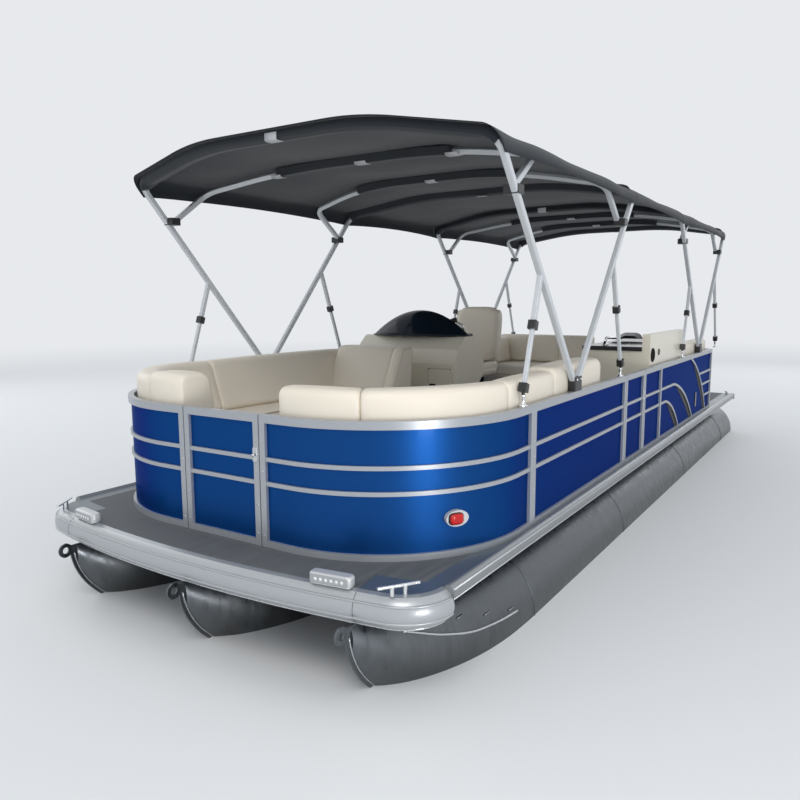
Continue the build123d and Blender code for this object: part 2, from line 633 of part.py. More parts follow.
# Helm console: a moulded pod with a hollow door recess in its front, a sloped dash behind
CONSOLE_FRONT = 2980.0
CONSOLE_REAR = 3470.0
CONSOLE_INNER = 150.0
CONSOLE_OUTER = FENCE_SIDE - 80.0
CONSOLE_TOP = 760.0
DASH_TOP = 860.0
DOOR_WIDTH = 210.0
DOOR_HEIGHT = 330.0
DOOR_FOOT = 270.0
DOOR_THICK = 16.0
DOOR_GAP = 4.0
DOOR_INNER = 205.0
CONSOLE_RECESS = 40.0
with BuildPart() as helm_console:
    with BuildSketch(Plane.XZ.offset(CONSOLE_INNER)):
        with BuildLine():
            Polyline(
                (aft(CONSOLE_FRONT), DECK_TOP),
                (aft(CONSOLE_FRONT), deck(DOOR_FOOT + DOOR_HEIGHT + 40)),
                (aft(CONSOLE_FRONT + 30), deck(CONSOLE_TOP)),
                (aft(CONSOLE_FRONT + 150), deck(DASH_TOP)),
                (aft(CONSOLE_REAR - 160), deck(DASH_TOP)),
                (aft(CONSOLE_REAR), deck(CONSOLE_TOP - 120)),
                (aft(CONSOLE_REAR), deck(CONSOLE_TOP - 220)),
                (aft(CONSOLE_REAR - 120), deck(CONSOLE_TOP - 330)),
                (aft(CONSOLE_REAR - 120), DECK_TOP),
                close=True,
            )
        make_face()
    extrude(amount=CONSOLE_OUTER - CONSOLE_INNER)
    fillet(helm_console.edges().filter_by(Axis.Y).group_by(Axis.Z)[-1], radius=60)
    fillet(helm_console.edges().filter_by(Axis.Z).group_by(Axis.X)[-1], radius=50)
    door_centre_y = -DOOR_INNER - DOOR_WIDTH / 2
    with BuildSketch(Plane.YZ.offset(aft(CONSOLE_FRONT))):
        with Locations((door_centre_y, deck(DOOR_FOOT + DOOR_HEIGHT / 2))):
            Rectangle(DOOR_WIDTH + 2 * DOOR_GAP, DOOR_HEIGHT + 2 * DOOR_GAP)
    extrude(amount=-CONSOLE_RECESS, mode=Mode.SUBTRACT)
    # Hinge pin for the door at its inboard edge, held by two lugs
    pin_y = -DOOR_INNER + DOOR_GAP
    with BuildSketch(Plane.XY.offset(deck(DOOR_FOOT + 40))):
        with Locations((aft(CONSOLE_FRONT) + HINGE_R, pin_y)):
            Circle(PIN_R)
    extrude(amount=DOOR_HEIGHT - 80)
    for low in (deck(DOOR_FOOT + 28), deck(DOOR_FOOT + DOOR_HEIGHT - 40)):
        with BuildSketch(Plane.XY.offset(low)):
            with Locations((aft(CONSOLE_FRONT) + HINGE_R, pin_y)):
                Circle(HINGE_R - 2)
            with Locations((aft(CONSOLE_FRONT) - 2, pin_y)):
                Rectangle(HINGE_R + 9, 26, align=(Align.MIN, Align.MIN))
        extrude(amount=12)
    # Steering column
    with BuildSketch(wheel_plane.offset(-HUB_THICK / 2 - SEAT_GAP)):
        Circle(COLUMN_R)
    extrude(amount=-COLUMN_LENGTH)
save(helm_console, "helm_console")

with BuildPart() as console_door:
    with BuildSketch(Plane.YZ.offset(aft(CONSOLE_FRONT) - DOOR_THICK)):
        with Locations((door_centre_y, deck(DOOR_FOOT + DOOR_HEIGHT / 2))):
            RectangleRounded(DOOR_WIDTH, DOOR_HEIGHT, 18)
    extrude(amount=DOOR_THICK)
    with BuildSketch(Plane.XY.offset(deck(DOOR_FOOT + 41))):
        with Locations((aft(CONSOLE_FRONT) + HINGE_R, pin_y)):
            Circle(HINGE_R)
        with Locations((aft(CONSOLE_FRONT) - 2, pin_y)):
            Rectangle(5, 34, align=(Align.MIN, Align.MAX))
        with Locations((aft(CONSOLE_FRONT) - 2, pin_y)):
            Rectangle(HINGE_R + 2, HINGE_R, align=(Align.MIN, Align.MAX))
        with Locations((aft(CONSOLE_FRONT) + HINGE_R, pin_y)):
            Circle(PIN_R + PIN_CLEARANCE, mode=Mode.SUBTRACT)
    extrude(amount=DOOR_HEIGHT - 82)
save(console_door, "console_door")

# Windscreen: a tinted wrap-round shield that stands on the dash
SCREEN_X = 3030.0
SCREEN_HALF = 480.0
SCREEN_DEPTH = 230.0
SCREEN_HEIGHT = 215.0
SCREEN_THICK = 6.0
with BuildPart() as windscreen:
    screen_y = -(CONSOLE_INNER + CONSOLE_OUTER) / 2
    levels = ((0.0, 1.0), (0.55, 0.86), (1.0, 0.5))
    for thick, mode in ((0.0, Mode.ADD), (SCREEN_THICK, Mode.SUBTRACT)):
        faces = []
        for rise, share in levels:
            half = SCREEN_HALF * share - thick
            reach = SCREEN_DEPTH * share - thick
            with BuildSketch(Plane.XY.offset(deck(DASH_TOP + SEAT_GAP) + rise * SCREEN_HEIGHT)) as level:
                with BuildLine():
                    back = aft(SCREEN_X + SCREEN_DEPTH)
                    ThreePointArc((back, screen_y - half), (back + reach, screen_y), (back, screen_y + half))
                    Line((back, screen_y + half), (back, screen_y - half))
                make_face()
            faces.append(level.sketch)
        loft(faces, mode=mode)
save(windscreen, "windscreen")

with BuildPart() as steering_wheel:
    with BuildSketch(wheel_plane.offset(-HUB_THICK / 2)):
        Circle(HUB_R)
    extrude(amount=HUB_THICK)
    with BuildSketch(wheel_plane.offset(-5)):
        with PolarLocations(0, 3):
            Rectangle(WHEEL_R, 24, align=(Align.MIN, Align.CENTER))
    extrude(amount=10)
    rim_plane = Plane(origin=wheel_plane.origin, x_dir=wheel_plane.x_dir, z_dir=-wheel_plane.y_dir)
    with BuildSketch(rim_plane):
        with Locations((WHEEL_R, 0)):
            Circle(WHEEL_RIM)
    revolve(axis=Axis(wheel_plane.origin, wheel_plane.z_dir))
save(steering_wheel, "steering_wheel")

# Helm chair: a fixed pedestal, and a seat with its back that swivels on it
CHAIR_X = 4040.0
CHAIR_Y = -620.0
PEDESTAL_R = 150.0
POST_R = 40.0
CHAIR_SEAT = 440.0
CHAIR_CUSHION = 130.0
CHAIR_WIDTH = 500.0
CHAIR_DEPTH = 480.0
CHAIR_TOP = 1100.0
CHAIR_BACK = 120.0
CHAIR_RAKE = 90.0
SWIVEL_GAP = 0.3
with BuildPart() as helm_pedestal:
    with BuildSketch(Plane.XY.offset(DECK_TOP)):
        with Locations((aft(CHAIR_X), CHAIR_Y)):
            Circle(PEDESTAL_R)
    extrude(amount=14)
    with BuildSketch(Plane.XY.offset(DECK_TOP)):
        with Locations((aft(CHAIR_X), CHAIR_Y)):
            Circle(POST_R)
    extrude(amount=CHAIR_SEAT - 20)
save(helm_pedestal, "helm_pedestal")

with BuildPart() as helm_chair_seat:
    with BuildSketch(Plane.XY.offset(deck(CHAIR_SEAT - 20 + SWIVEL_GAP))):
        with Locations((aft(CHAIR_X), CHAIR_Y)):
            RectangleRounded(300, 260, 30)
    extrude(amount=20)
    with BuildSketch(Plane.XY.offset(deck(CHAIR_SEAT))):
        with Locations((aft(CHAIR_X), CHAIR_Y)):
            RectangleRounded(CHAIR_DEPTH, CHAIR_WIDTH, 70)
    extrude(amount=CHAIR_CUSHION)
save(helm_chair_seat, "helm_chair_seat")

with BuildPart() as helm_chair_back:
    foot = deck(CHAIR_SEAT + CHAIR_CUSHION + SEAT_GAP)
    rear = aft(CHAIR_X) - CHAIR_DEPTH / 2
    with BuildSketch(Plane.XZ.offset(-CHAIR_Y)):
        with BuildLine():
            Polyline(
                (rear, foot),
                (rear + CHAIR_BACK, foot),
                (rear + CHAIR_BACK - CHAIR_RAKE, deck(CHAIR_TOP)),
                (rear + CHAIR_BACK / 2 - CHAIR_RAKE, deck(CHAIR_TOP)),
                close=True,
            )
        make_face()
    extrude(amount=CHAIR_WIDTH / 2 - 10, both=True)
    fillet(helm_chair_back.edges().filter_by(Axis.X).group_by(Axis.Z)[-1], radius=90)
save(helm_chair_back, "helm_chair_back")

# Galley: a cabinet behind the side gate with a dark counter and a raised outboard panel
GALLEY_FRONT = 3710.0
GALLEY_REAR = 4920.0
GALLEY_INNER = 650.0
GALLEY_OUTER = FENCE_SIDE - 50.0
GALLEY_TOP = 750.0
COUNTER_THICK = 34.0
COUNTER_LIP = 12.0
SIDE_PANEL_TOP = 883.0
SIDE_PANEL_THICK = 60.0
with BuildPart() as galley_cabinet:
    with BuildSketch(Plane.XY.offset(DECK_TOP)):
        with Locations((aft(GALLEY_REAR), GALLEY_INNER)):
            Rectangle(
                GALLEY_REAR - GALLEY_FRONT, GALLEY_OUTER - GALLEY_INNER, align=(Align.MIN, Align.MIN)
            )
    extrude(amount=GALLEY_TOP)
    with BuildSketch(Plane.XY.offset(DECK_TOP)):
        with Locations((aft(GALLEY_REAR), GALLEY_OUTER)):
            Rectangle(GALLEY_REAR - GALLEY_FRONT, SIDE_PANEL_THICK, align=(Align.MIN, Align.MAX))
    extrude(amount=SIDE_PANEL_TOP)
save(galley_cabinet, "galley_cabinet")

with BuildPart() as galley_counter:
    with BuildSketch(Plane.XY.offset(deck(GALLEY_TOP))):
        with Locations((aft(GALLEY_REAR), GALLEY_OUTER - SIDE_PANEL_THICK)):
            width = GALLEY_OUTER - SIDE_PANEL_THICK - GALLEY_INNER + COUNTER_LIP
            Rectangle(GALLEY_REAR - GALLEY_FRONT + COUNTER_LIP, width, align=(Align.MIN, Align.MAX))
    extrude(amount=COUNTER_THICK)
save(galley_counter, "galley_counter")

# Stern lounges: one across the stern and round the starboard corner, one along the port side
STERN_LOUNGE_REAR = 6115.0
STERN_LOUNGE_INNER = 30.0
STERN_LOUNGE_FRONT = 5500.0
STERN_SEAT_DEPTH = 560.0
STERN_BACK_DEPTH = 170.0
PORT_STERN_FRONT = 4960.0
PORT_STERN_REAR = 6080.0
PORT_STERN_TOP = 750.0
LOUNGE_SIDE = FENCE_SIDE - BACK_INSET


def stern_block(inset, low, high, seat_depth):
    """L-shaped starboard solid and straight port solid of one layer of the stern lounges."""
    with BuildSketch(Plane.XY.offset(low)) as layer:
        with BuildLine():
            side = LOUNGE_SIDE - inset
            rear = aft(STERN_LOUNGE_REAR) + inset
            Polyline(
                (rear, -STERN_LOUNGE_INNER - inset),
                (rear + seat_depth, -STERN_LOUNGE_INNER - inset),
                (rear + seat_depth, -side + seat_depth),
                (aft(STERN_LOUNGE_FRONT), -side + seat_depth),
                (aft(STERN_LOUNGE_FRONT), -side),
                (rear, -side),
                close=True,
            )
        make_face()
        with Locations((aft(PORT_STERN_REAR), side)):
            Rectangle(PORT_STERN_REAR - PORT_STERN_FRONT, seat_depth, align=(Align.MIN, Align.MAX))
    extrude(layer.sketch, amount=high - low)


with BuildPart() as stern_lounge_bases:
    stern_block(22, DECK_TOP, deck(BASE_HEIGHT), STERN_SEAT_DEPTH - 60)
save(stern_lounge_bases, "stern_lounge_bases")

with BuildPart() as stern_lounge_seats:
    stern_block(0, deck(BASE_HEIGHT + SEAT_GAP), deck(SEAT_HEIGHT), STERN_SEAT_DEPTH)
save(stern_lounge_seats, "stern_lounge_seats")

with BuildPart() as stern_lounge_backs:
    stern_block(0, deck(SEAT_HEIGHT + SEAT_GAP), deck(PORT_STERN_TOP), STERN_BACK_DEPTH)
save(stern_lounge_backs, "stern_lounge_backs")

# Folding tops: two alike, each with two main bows, two inner bows and four struts a pair a side
TOP_MOUNTS = (1920.0, 5540.0)
MOUNT_RISE = 26.0
TUBE = 32.0
TOP_HALF = FENCE_SIDE - 26.0
INNER_HALF = TOP_HALF - 38.0
BOW_REACH = 990.0
BOW_KNEE = 1781.0
CORNER_Z = 1876.0
SHOULDER_Y = 560.0
CROWN_Z = 1990.0
CORNER_ROUND = 110.0
CROWN_ROUND = 2200.0
CLOTH = 4.0
CLOTH_ROUND = 60.0
LEAN_RISE = 7.0
HEM = 36.0
SKIRT_Z = 1795.0
INNER_ROOT = (860.0, 1663.0)
INNER_LEAN = 0.4 / 0.29
BOW_LEAN = BOW_REACH / (BOW_KNEE - FENCE_HEIGHT - MOUNT_RISE)


def bow(root_x, root_z, half, lean):
    """One bow bent in its own leaning plane, lean being how far it moves along X for each unit up."""
    up = sqrt(1 / (1 + lean * lean))
    plane = Plane(origin=(root_x, 0, root_z), x_dir=(0, 1, 0), z_dir=Vector(up, 0, -lean * up))
    knee = (deck(CORNER_Z) - root_z) / up
    crown = (deck(CROWN_Z) - root_z) / up
    with BuildLine(plane) as path:
        FilletPolyline(
            (-half, 0),
            (-half, knee),
            (-SHOULDER_Y, crown),
            (SHOULDER_Y, crown),
            (half, knee),
            (half, 0),
            radius=[CORNER_ROUND, CROWN_ROUND, CROWN_ROUND, CORNER_ROUND],
        )
    start = path.line @ 0
    with BuildSketch(Plane(origin=start, x_dir=(0, 1, 0), z_dir=path.line % 0)) as section:
        RectangleRounded(TUBE, TUBE, 6)
    sweep(section.sketch, path=path.line)


def strut(foot, head, y, size):
    """Straight square strut between two points given as X and Z, on the line y."""
    run = Vector(head[0] - foot[0], 0, head[1] - foot[1])
    with BuildSketch(Plane(origin=(foot[0], y, foot[1]), x_dir=(0, 1, 0), z_dir=run)) as section:
        RectangleRounded(size, size, 4)
    extrude(section.sketch, amount=run.length)


# Struts: foot and head as distances ahead of the mount and heights above the deck
STRUTS = (
    ((750.0, 716.0), (557.0, 1290.0)),
    ((-910.0, 716.0), (-654.0, 1400.0)),
)
STRUT_SIZE = 22.0
SLEEVE_SIZE = 27.0
SLEEVE_SHARE = 0.55
FITTING_SIZE = 44.0
EYE_SIZE = 16.0


def along(foot, head, share):
    """Point this share of the way from foot to head."""
    return (foot[0] + share * (head[0] - foot[0]), foot[1] + share * (head[1] - foot[1]))


def crown_wire(grow):
    """Cross section of a top's cloth, this far outside the bows' centre line."""
    side = TOP_HALF + grow
    rise = grow + LEAN_RISE
    points = [
        (-side, deck(SKIRT_Z)),
        (-side, deck(CORNER_Z) + rise),
        (-SHOULDER_Y, deck(CROWN_Z) + rise),
        (SHOULDER_Y, deck(CROWN_Z) + rise),
        (side, deck(CORNER_Z) + rise),
        (side, deck(SKIRT_Z)),
    ]
    return FilletPolyline(*points, radius=[CLOTH_ROUND + grow, CROWN_ROUND, CROWN_ROUND, CLOTH_ROUND + grow])


def bow_plane(mount, way, reach):
    """Plane of a main bow, moved this far outward along X from the mount."""
    lean = way * BOW_LEAN
    up = sqrt(1 / (1 + lean * lean))
    origin = (aft(mount) + way * (TUBE * 0.6 + reach), 0, deck(FENCE_HEIGHT + MOUNT_RISE) + TUBE / 2)
    return Plane(origin=origin, x_dir=(0, 1, 0), z_dir=Vector(way * up, 0, -way * lean * up))


def cloth(x_low, x_high, low_plane, high_plane, label):
    """One cloth panel between two leaning planes, saved under its label."""
    with BuildPart() as panel:
        with BuildSketch(Plane.YZ.offset(x_low)):
            with BuildLine():
                outer = crown_wire(TUBE / 2 + SEAT_GAP + CLOTH)
                inner = crown_wire(TUBE / 2 + SEAT_GAP)
                Line(outer @ 0, inner @ 0)
                Line(outer @ 1, inner @ 1)
            make_face()
        extrude(amount=x_high - x_low)
        split(bisect_by=high_plane, keep=Keep.BOTTOM)
        split(bisect_by=low_plane, keep=Keep.BOTTOM)
    save(panel, label)


frames = []
for name, mount in zip(("top_frame_front", "top_frame_rear"), TOP_MOUNTS):
    mount_x, mount_z = aft(mount), deck(FENCE_HEIGHT + MOUNT_RISE)
    with BuildPart() as top_frame:
        for way in (1, -1):
            bow(mount_x + way * TUBE * 0.6, mount_z + TUBE / 2, TOP_HALF, way * BOW_LEAN)
            bow(mount_x + way * INNER_ROOT[0], deck(INNER_ROOT[1]), INNER_HALF, -way * INNER_LEAN)
        for side in (1, -1):
            for foot, head in STRUTS:
                low = (mount_x + foot[0], deck(foot[1]))
                high = (mount_x + head[0], deck(head[1]))
                strut(low, high, side * TOP_HALF, STRUT_SIZE)
                strut(along(low, high, SLEEVE_SHARE), high, side * TOP_HALF, SLEEVE_SIZE)
    save(top_frame, name)
    frames.append(top_frame)

# Black fittings on the tubes: rail mounts, strut clamps, inner bow jaws and strut feet on their eyes
with BuildPart() as top_fittings:
    for mount in TOP_MOUNTS:
        for side in (1, -1):
            y = side * TOP_HALF
            with BuildSketch(Plane.XY.offset(deck(FENCE_HEIGHT))):
                with Locations((aft(mount), y)):
                    RectangleRounded(110, TUBE + 16, 8)
            extrude(amount=2 * MOUNT_RISE + 30)
            for foot, head in STRUTS:
                low = (aft(mount) + foot[0], deck(foot[1]))
                high = (aft(mount) + head[0], deck(head[1]))
                for share, length in ((SLEEVE_SHARE, FITTING_SIZE), (0.02, FITTING_SIZE)):
                    point = along(low, high, share)
                    run = Vector(high[0] - low[0], 0, high[1] - low[1])
                    with BuildSketch(Plane(origin=(point[0], y, point[1]), x_dir=(0, 1, 0), z_dir=run)):
                        RectangleRounded(FITTING_SIZE, FITTING_SIZE, 6)
                    extrude(amount=length / 2, both=True)
                with BuildSketch(Plane.XY.offset(deck(FENCE_HEIGHT))):
                    with Locations((low[0], y)):
                        Circle(EYE_SIZE / 2)
                extrude(amount=low[1] - deck(FENCE_HEIGHT))
            for way in (1, -1):
                jaw = (aft(mount) + way * INNER_ROOT[0], side * (INNER_HALF + TOP_HALF) / 2)
                with BuildSketch(Plane.XY.offset(deck(INNER_ROOT[1]) - FITTING_SIZE / 2)):
                    with Locations(jaw):
                        RectangleRounded(FITTING_SIZE + 30, FITTING_SIZE + TUBE, 6)
                extrude(amount=FITTING_SIZE)
    for frame in frames:
        add(frame.part, mode=Mode.SUBTRACT)
save(top_fittings, "top_fittings")

reach = BOW_REACH + 400
front, rear = TOP_MOUNTS
for label, mount in (("canopy_front", front), ("canopy_rear", rear)):
    cloth(
        aft(mount) - reach,
        aft(mount) + reach,
        bow_plane(mount, -1, HEM),
        bow_plane(mount, 1, HEM),
        label,
    )
front_edge, rear_edge = bow_plane(front, -1, HEM + SEAT_GAP), bow_plane(rear, 1, HEM + SEAT_GAP)
cloth(
    aft(rear) + BOW_REACH - 100,
    aft(front) - BOW_REACH + 100,
    Plane(origin=rear_edge.origin, x_dir=(0, 1, 0), z_dir=-rear_edge.z_dir),
    Plane(origin=front_edge.origin, x_dir=(0, 1, 0), z_dir=-front_edge.z_dir),
    "canopy_bridge",
)

# Motor pod and transom behind the centre tube
POD_FRONT = 7080.0
POD_HALF = 300.0
POD_FOOT = 90.0
POD_CHINE = 200.0
TRANSOM = 7700.0
TRANSOM_THICK = 45.0
TRANSOM_TOP = -60.0
with BuildPart() as motor_pod:
    with BuildSketch(Plane.YZ.offset(aft(TRANSOM + TRANSOM_THICK))):
        with BuildLine():
            Polyline(
                (0, POD_FOOT),
                (POD_HALF, POD_CHINE),
                (POD_HALF, TUBE_Z + TUBE_R),
                (-POD_HALF, TUBE_Z + TUBE_R),
                (-POD_HALF, POD_CHINE),
                close=True,
            )
        make_face()
    extrude(amount=TRANSOM + TRANSOM_THICK - POD_FRONT)
    with BuildSketch(Plane.XY.offset(TUBE_Z + TUBE_R)):
        with Locations((aft(TRANSOM + TRANSOM_THICK), 0)):
            Rectangle(TRANSOM_THICK, 2 * POD_HALF - 60, align=(Align.MIN, Align.CENTER))
    extrude(amount=deck(TRANSOM_TOP) - TUBE_Z - TUBE_R)
    with BuildSketch(Plane.XY.offset(TUBE_Z + TUBE_R)):
        with Locations((aft(POD_FRONT + 60), -POD_HALF / 2), (aft(POD_FRONT + 60), POD_HALF / 2)):
            Rectangle(340, 60, align=(Align.MAX, Align.CENTER))
    extrude(amount=CROSS_FOOT - TUBE_Z - TUBE_R)
save(motor_pod, "motor_pod")

# Outboard, stored tilted up. Its own pieces are drawn upright from the tilt pin and turned as one
TILT = 60.0
PIVOT_RISE = 45.0
PIVOT_R = 14.0
STEER_BACK = 110.0
STEER_R = 16.0
PLATE_DROP = 508.0
PROP_DROP = 185.0
PROP_R = 168.0
SKEG_DROP = 190.0
LEG_HEAD = 105.0
LEG_SETBACK = 50.0
PAN_DEPTH = 22.0
COWL_FRONT = -40.0
COWL_WALL = 6.0
COWL_CORNER = 0.35
ENGINE_LENGTH = 300.0
ENGINE_WIDTH = 230.0
ENGINE_HEIGHT = 400.0
# Cowl sections up the motor: height above the pivot, length, width and shift forward
COWL_SECTIONS = (
    (LEG_HEAD + SEAT_GAP, 470.0, 330.0, 0.0),
    (150.0, 530.0, 370.0, 5.0),
    (230.0, 565.0, 390.0, 10.0),
    (440.0, 550.0, 375.0, 5.0),
    (540.0, 500.0, 330.0, -8.0),
    (600.0, 400.0, 250.0, -30.0),
)
tilt_turn = radians(TILT)
forward = Vector(cos(tilt_turn), 0, -sin(tilt_turn))
upward = Vector(sin(tilt_turn), 0, cos(tilt_turn))
pivot = Vector(aft(TRANSOM), 0, deck(TRANSOM_TOP) + PIVOT_RISE)
ANTI_VENT = -PIVOT_RISE - PLATE_DROP
PROP_LINE = ANTI_VENT - PROP_DROP
# Leg sections down the motor: height above the pivot, length and width
LEG_SECTIONS = (
    (LEG_HEAD, 330.0, 250.0),
    (40.0, 260.0, 150.0),
    (-300.0, 200.0, 110.0),
    (ANTI_VENT - 3, 240.0, 60.0),
)


def level(height, ahead=0.0):
    """Motor's own level plane at this height above the tilt pin."""
    return Plane(origin=pivot + upward * height + forward * ahead, x_dir=forward, z_dir=upward)


def profile(side=0.0):
    """Motor's own side view plane, this far to port."""
    return Plane(origin=pivot + Vector(0, side, 0), x_dir=forward, z_dir=(0, -1, 0))


with BuildPart() as motor_bracket:
    for side in (1, -1):
        with BuildSketch(Plane.XZ.offset(-side * 85)):
            with BuildLine():
                x, z = pivot.X, pivot.Z
                Polyline(
                    (x + 40, z + 24),
                    (x - TRANSOM_THICK - 50, z + 24),
                    (x - TRANSOM_THICK - 50, z - 180),
                    (x - TRANSOM_THICK - 10, z - 320),
                    (x - TRANSOM_THICK - SEAT_GAP, z - 320),
                    (x - TRANSOM_THICK - SEAT_GAP, z - PIVOT_RISE + SEAT_GAP),
                    (x + SEAT_GAP, z - PIVOT_RISE + SEAT_GAP),
                    (x + SEAT_GAP, z - 130),
                    (x + 40, z - 130),
                    close=True,
                )
            make_face()
        extrude(amount=10, both=True)
    with BuildSketch(Plane.XZ.offset(95)):
        with Locations((pivot.X, pivot.Z)):
            Circle(PIVOT_R)
    extrude(amount=-190)
save(motor_bracket, "motor_bracket")

with BuildPart() as motor_swivel:
    with BuildSketch(profile(60)):
        Circle(27)
        with Locations((0, 0)):
            Rectangle(STEER_BACK, 44, align=(Align.MAX, Align.CENTER))
    extrude(amount=120)
    with BuildSketch(level(-300, -STEER_BACK)):
        Circle(34)
    extrude(amount=322)
    with BuildSketch(level(-301, -STEER_BACK)):
        Circle(STEER_R + PIN_CLEARANCE)
    extrude(amount=324, mode=Mode.SUBTRACT)
    with BuildSketch(profile(61)):
        Circle(PIVOT_R + PIN_CLEARANCE)
    extrude(amount=122, mode=Mode.SUBTRACT)
save(motor_swivel, "motor_swivel")

with BuildPart() as motor_leg:
    # Steering shaft with its yokes above and below the swivel
    with BuildSketch(level(-325, -STEER_BACK)):
        Circle(STEER_R)
    extrude(amount=385)
    for height in (-325, 28):
        with BuildSketch(level(height, -STEER_BACK)):
            with Locations((20, 0)):
                Rectangle(160, 90, align=(Align.MAX, Align.CENTER))
        extrude(amount=24)
    # Midsection that narrows towards the gearcase
    for height, length, width in LEG_SECTIONS:
        with BuildSketch(level(height, -STEER_BACK - LEG_SETBACK)):
            with Locations((-length / 2, 0)):
                RectangleRounded(length, width, min(width, length) * 0.4)
    loft(ruled=True)
    # Lower pan that the cowl closes on
    pan_length, pan_width = COWL_SECTIONS[0][1:3]
    with BuildSketch(level(LEG_HEAD - PAN_DEPTH, COWL_FRONT)):
        with Locations((-pan_length / 2, 0)):
            RectangleRounded(pan_length, pan_width, pan_width * COWL_CORNER)
    extrude(amount=PAN_DEPTH)
    # Anti-ventilation plate, strut, torpedo and skeg
    with BuildSketch(level(ANTI_VENT - 8, -STEER_BACK - 20)):
        with Locations((-180, 0)):
            RectangleRounded(400, 210, 100)
    extrude(amount=10)
    with BuildSketch(level(PROP_LINE - SKEG_DROP, -STEER_BACK - 110)):
        with Locations((-60, 0)):
            RectangleRounded(130, 14, 6)
    extrude(amount=SKEG_DROP)
    with BuildSketch(level(PROP_LINE, -STEER_BACK - 50)):
        with Locations((-120, 0)):
            Ellipse(120, 26)
    extrude(amount=PROP_DROP)
    with BuildSketch(profile()):
        with BuildLine():
            nose_x, tail_x = -STEER_BACK, -STEER_BACK - 330
            ThreePointArc((nose_x, PROP_LINE), (nose_x - 40, PROP_LINE + 44), (nose_x - 120, PROP_LINE + 56))
            Polyline(
                (nose_x - 120, PROP_LINE + 56),
                (tail_x + 40, PROP_LINE + 50),
                (tail_x, PROP_LINE + 44),
                (tail_x, PROP_LINE),
                (nose_x, PROP_LINE),
            )
        make_face()
    revolve(axis=Axis(pivot + upward * PROP_LINE, forward))
    # Propeller shaft
    with BuildSketch(Plane(origin=pivot + upward * PROP_LINE + forward * tail_x, z_dir=-forward)):
        Circle(12)
    extrude(amount=140)
save(motor_leg, "motor_leg")

with BuildPart() as motor_cowl:
    for wall, mode in ((0, Mode.ADD), (COWL_WALL, Mode.SUBTRACT)):
        for height, length, width, shift in COWL_SECTIONS:
            with BuildSketch(level(height - wall, COWL_FRONT + shift)):
                with Locations((-length / 2, 0)):
                    RectangleRounded(length - 2 * wall, width - 2 * wall, width * COWL_CORNER - wall)
        loft(ruled=True, mode=mode)
save(motor_cowl, "motor_cowl")

# Engine: one plain block on the leg's head, closed in by the cowl
with BuildPart() as engine_block:
    with BuildSketch(level(LEG_HEAD + SEAT_GAP, -STEER_BACK - LEG_SETBACK)):
        with Locations((-LEG_SECTIONS[0][1] / 2, 0)):
            RectangleRounded(ENGINE_LENGTH, ENGINE_WIDTH, 30)
    extrude(amount=ENGINE_HEIGHT)
save(engine_block, "engine_block")

with BuildPart() as propeller:
    hub_start = pivot + upward * PROP_LINE + forward * (-STEER_BACK - 336)
    with BuildSketch(Plane(origin=hub_start, z_dir=-forward)):
        Circle(46)
        Circle(12 + PIN_CLEARANCE, mode=Mode.SUBTRACT)
    extrude(amount=120)
    for blade in range(3):
        turn = radians(120 * blade + 30)
        out = Vector(0, 1, 0) * cos(turn) + upward * sin(turn)
        around = Vector(0, -1, 0) * sin(turn) + upward * cos(turn)
        pitch = radians(28)
        blade_normal = -forward * cos(pitch) + around * sin(pitch)
        blade_plane = Plane(origin=hub_start - forward * 60 + out * 40, x_dir=out, z_dir=blade_normal)
        with BuildSketch(blade_plane):
            with Locations((PROP_R / 2 - 20, 0)):
                Ellipse(PROP_R / 2 - 20, 62)
        extrude(amount=3, both=True)
save(propeller, "propeller")

# Cleats on the bow caps and the stern corners
CLEAT_LENGTH = 180.0
BOW_CLEAT = (160.0, 160.0)
STERN_CLEAT = (70.0, 80.0)
with BuildPart() as cleats:
    for x, y, turn in (
        (aft(BOW_CLEAT[0]), HALF_BEAM - BOW_CLEAT[1], 35),
        (aft(BOW_CLEAT[0]), BOW_CLEAT[1] - HALF_BEAM, -35),
        (aft(DECK_STERN - STERN_CLEAT[0]), HALF_BEAM - STERN_CLEAT[1], 0),
        (aft(DECK_STERN - STERN_CLEAT[0]), STERN_CLEAT[1] - HALF_BEAM, 0),
    ):
        across = (cos(radians(turn)), -sin(radians(turn)), 0)
        place = Plane(origin=(x, y, DECK_TOP), x_dir=across, z_dir=(0, 0, 1))
        with BuildSketch(place):
            with GridLocations(56, 1, 2, 1):
                Circle(9)
        extrude(amount=38)
        with BuildSketch(Plane(origin=place.origin + Vector(0, 0, 40), x_dir=place.y_dir, z_dir=place.x_dir)):
            Circle(8)
        extrude(amount=CLEAT_LENGTH / 2, both=True)
save(cleats, "cleats")

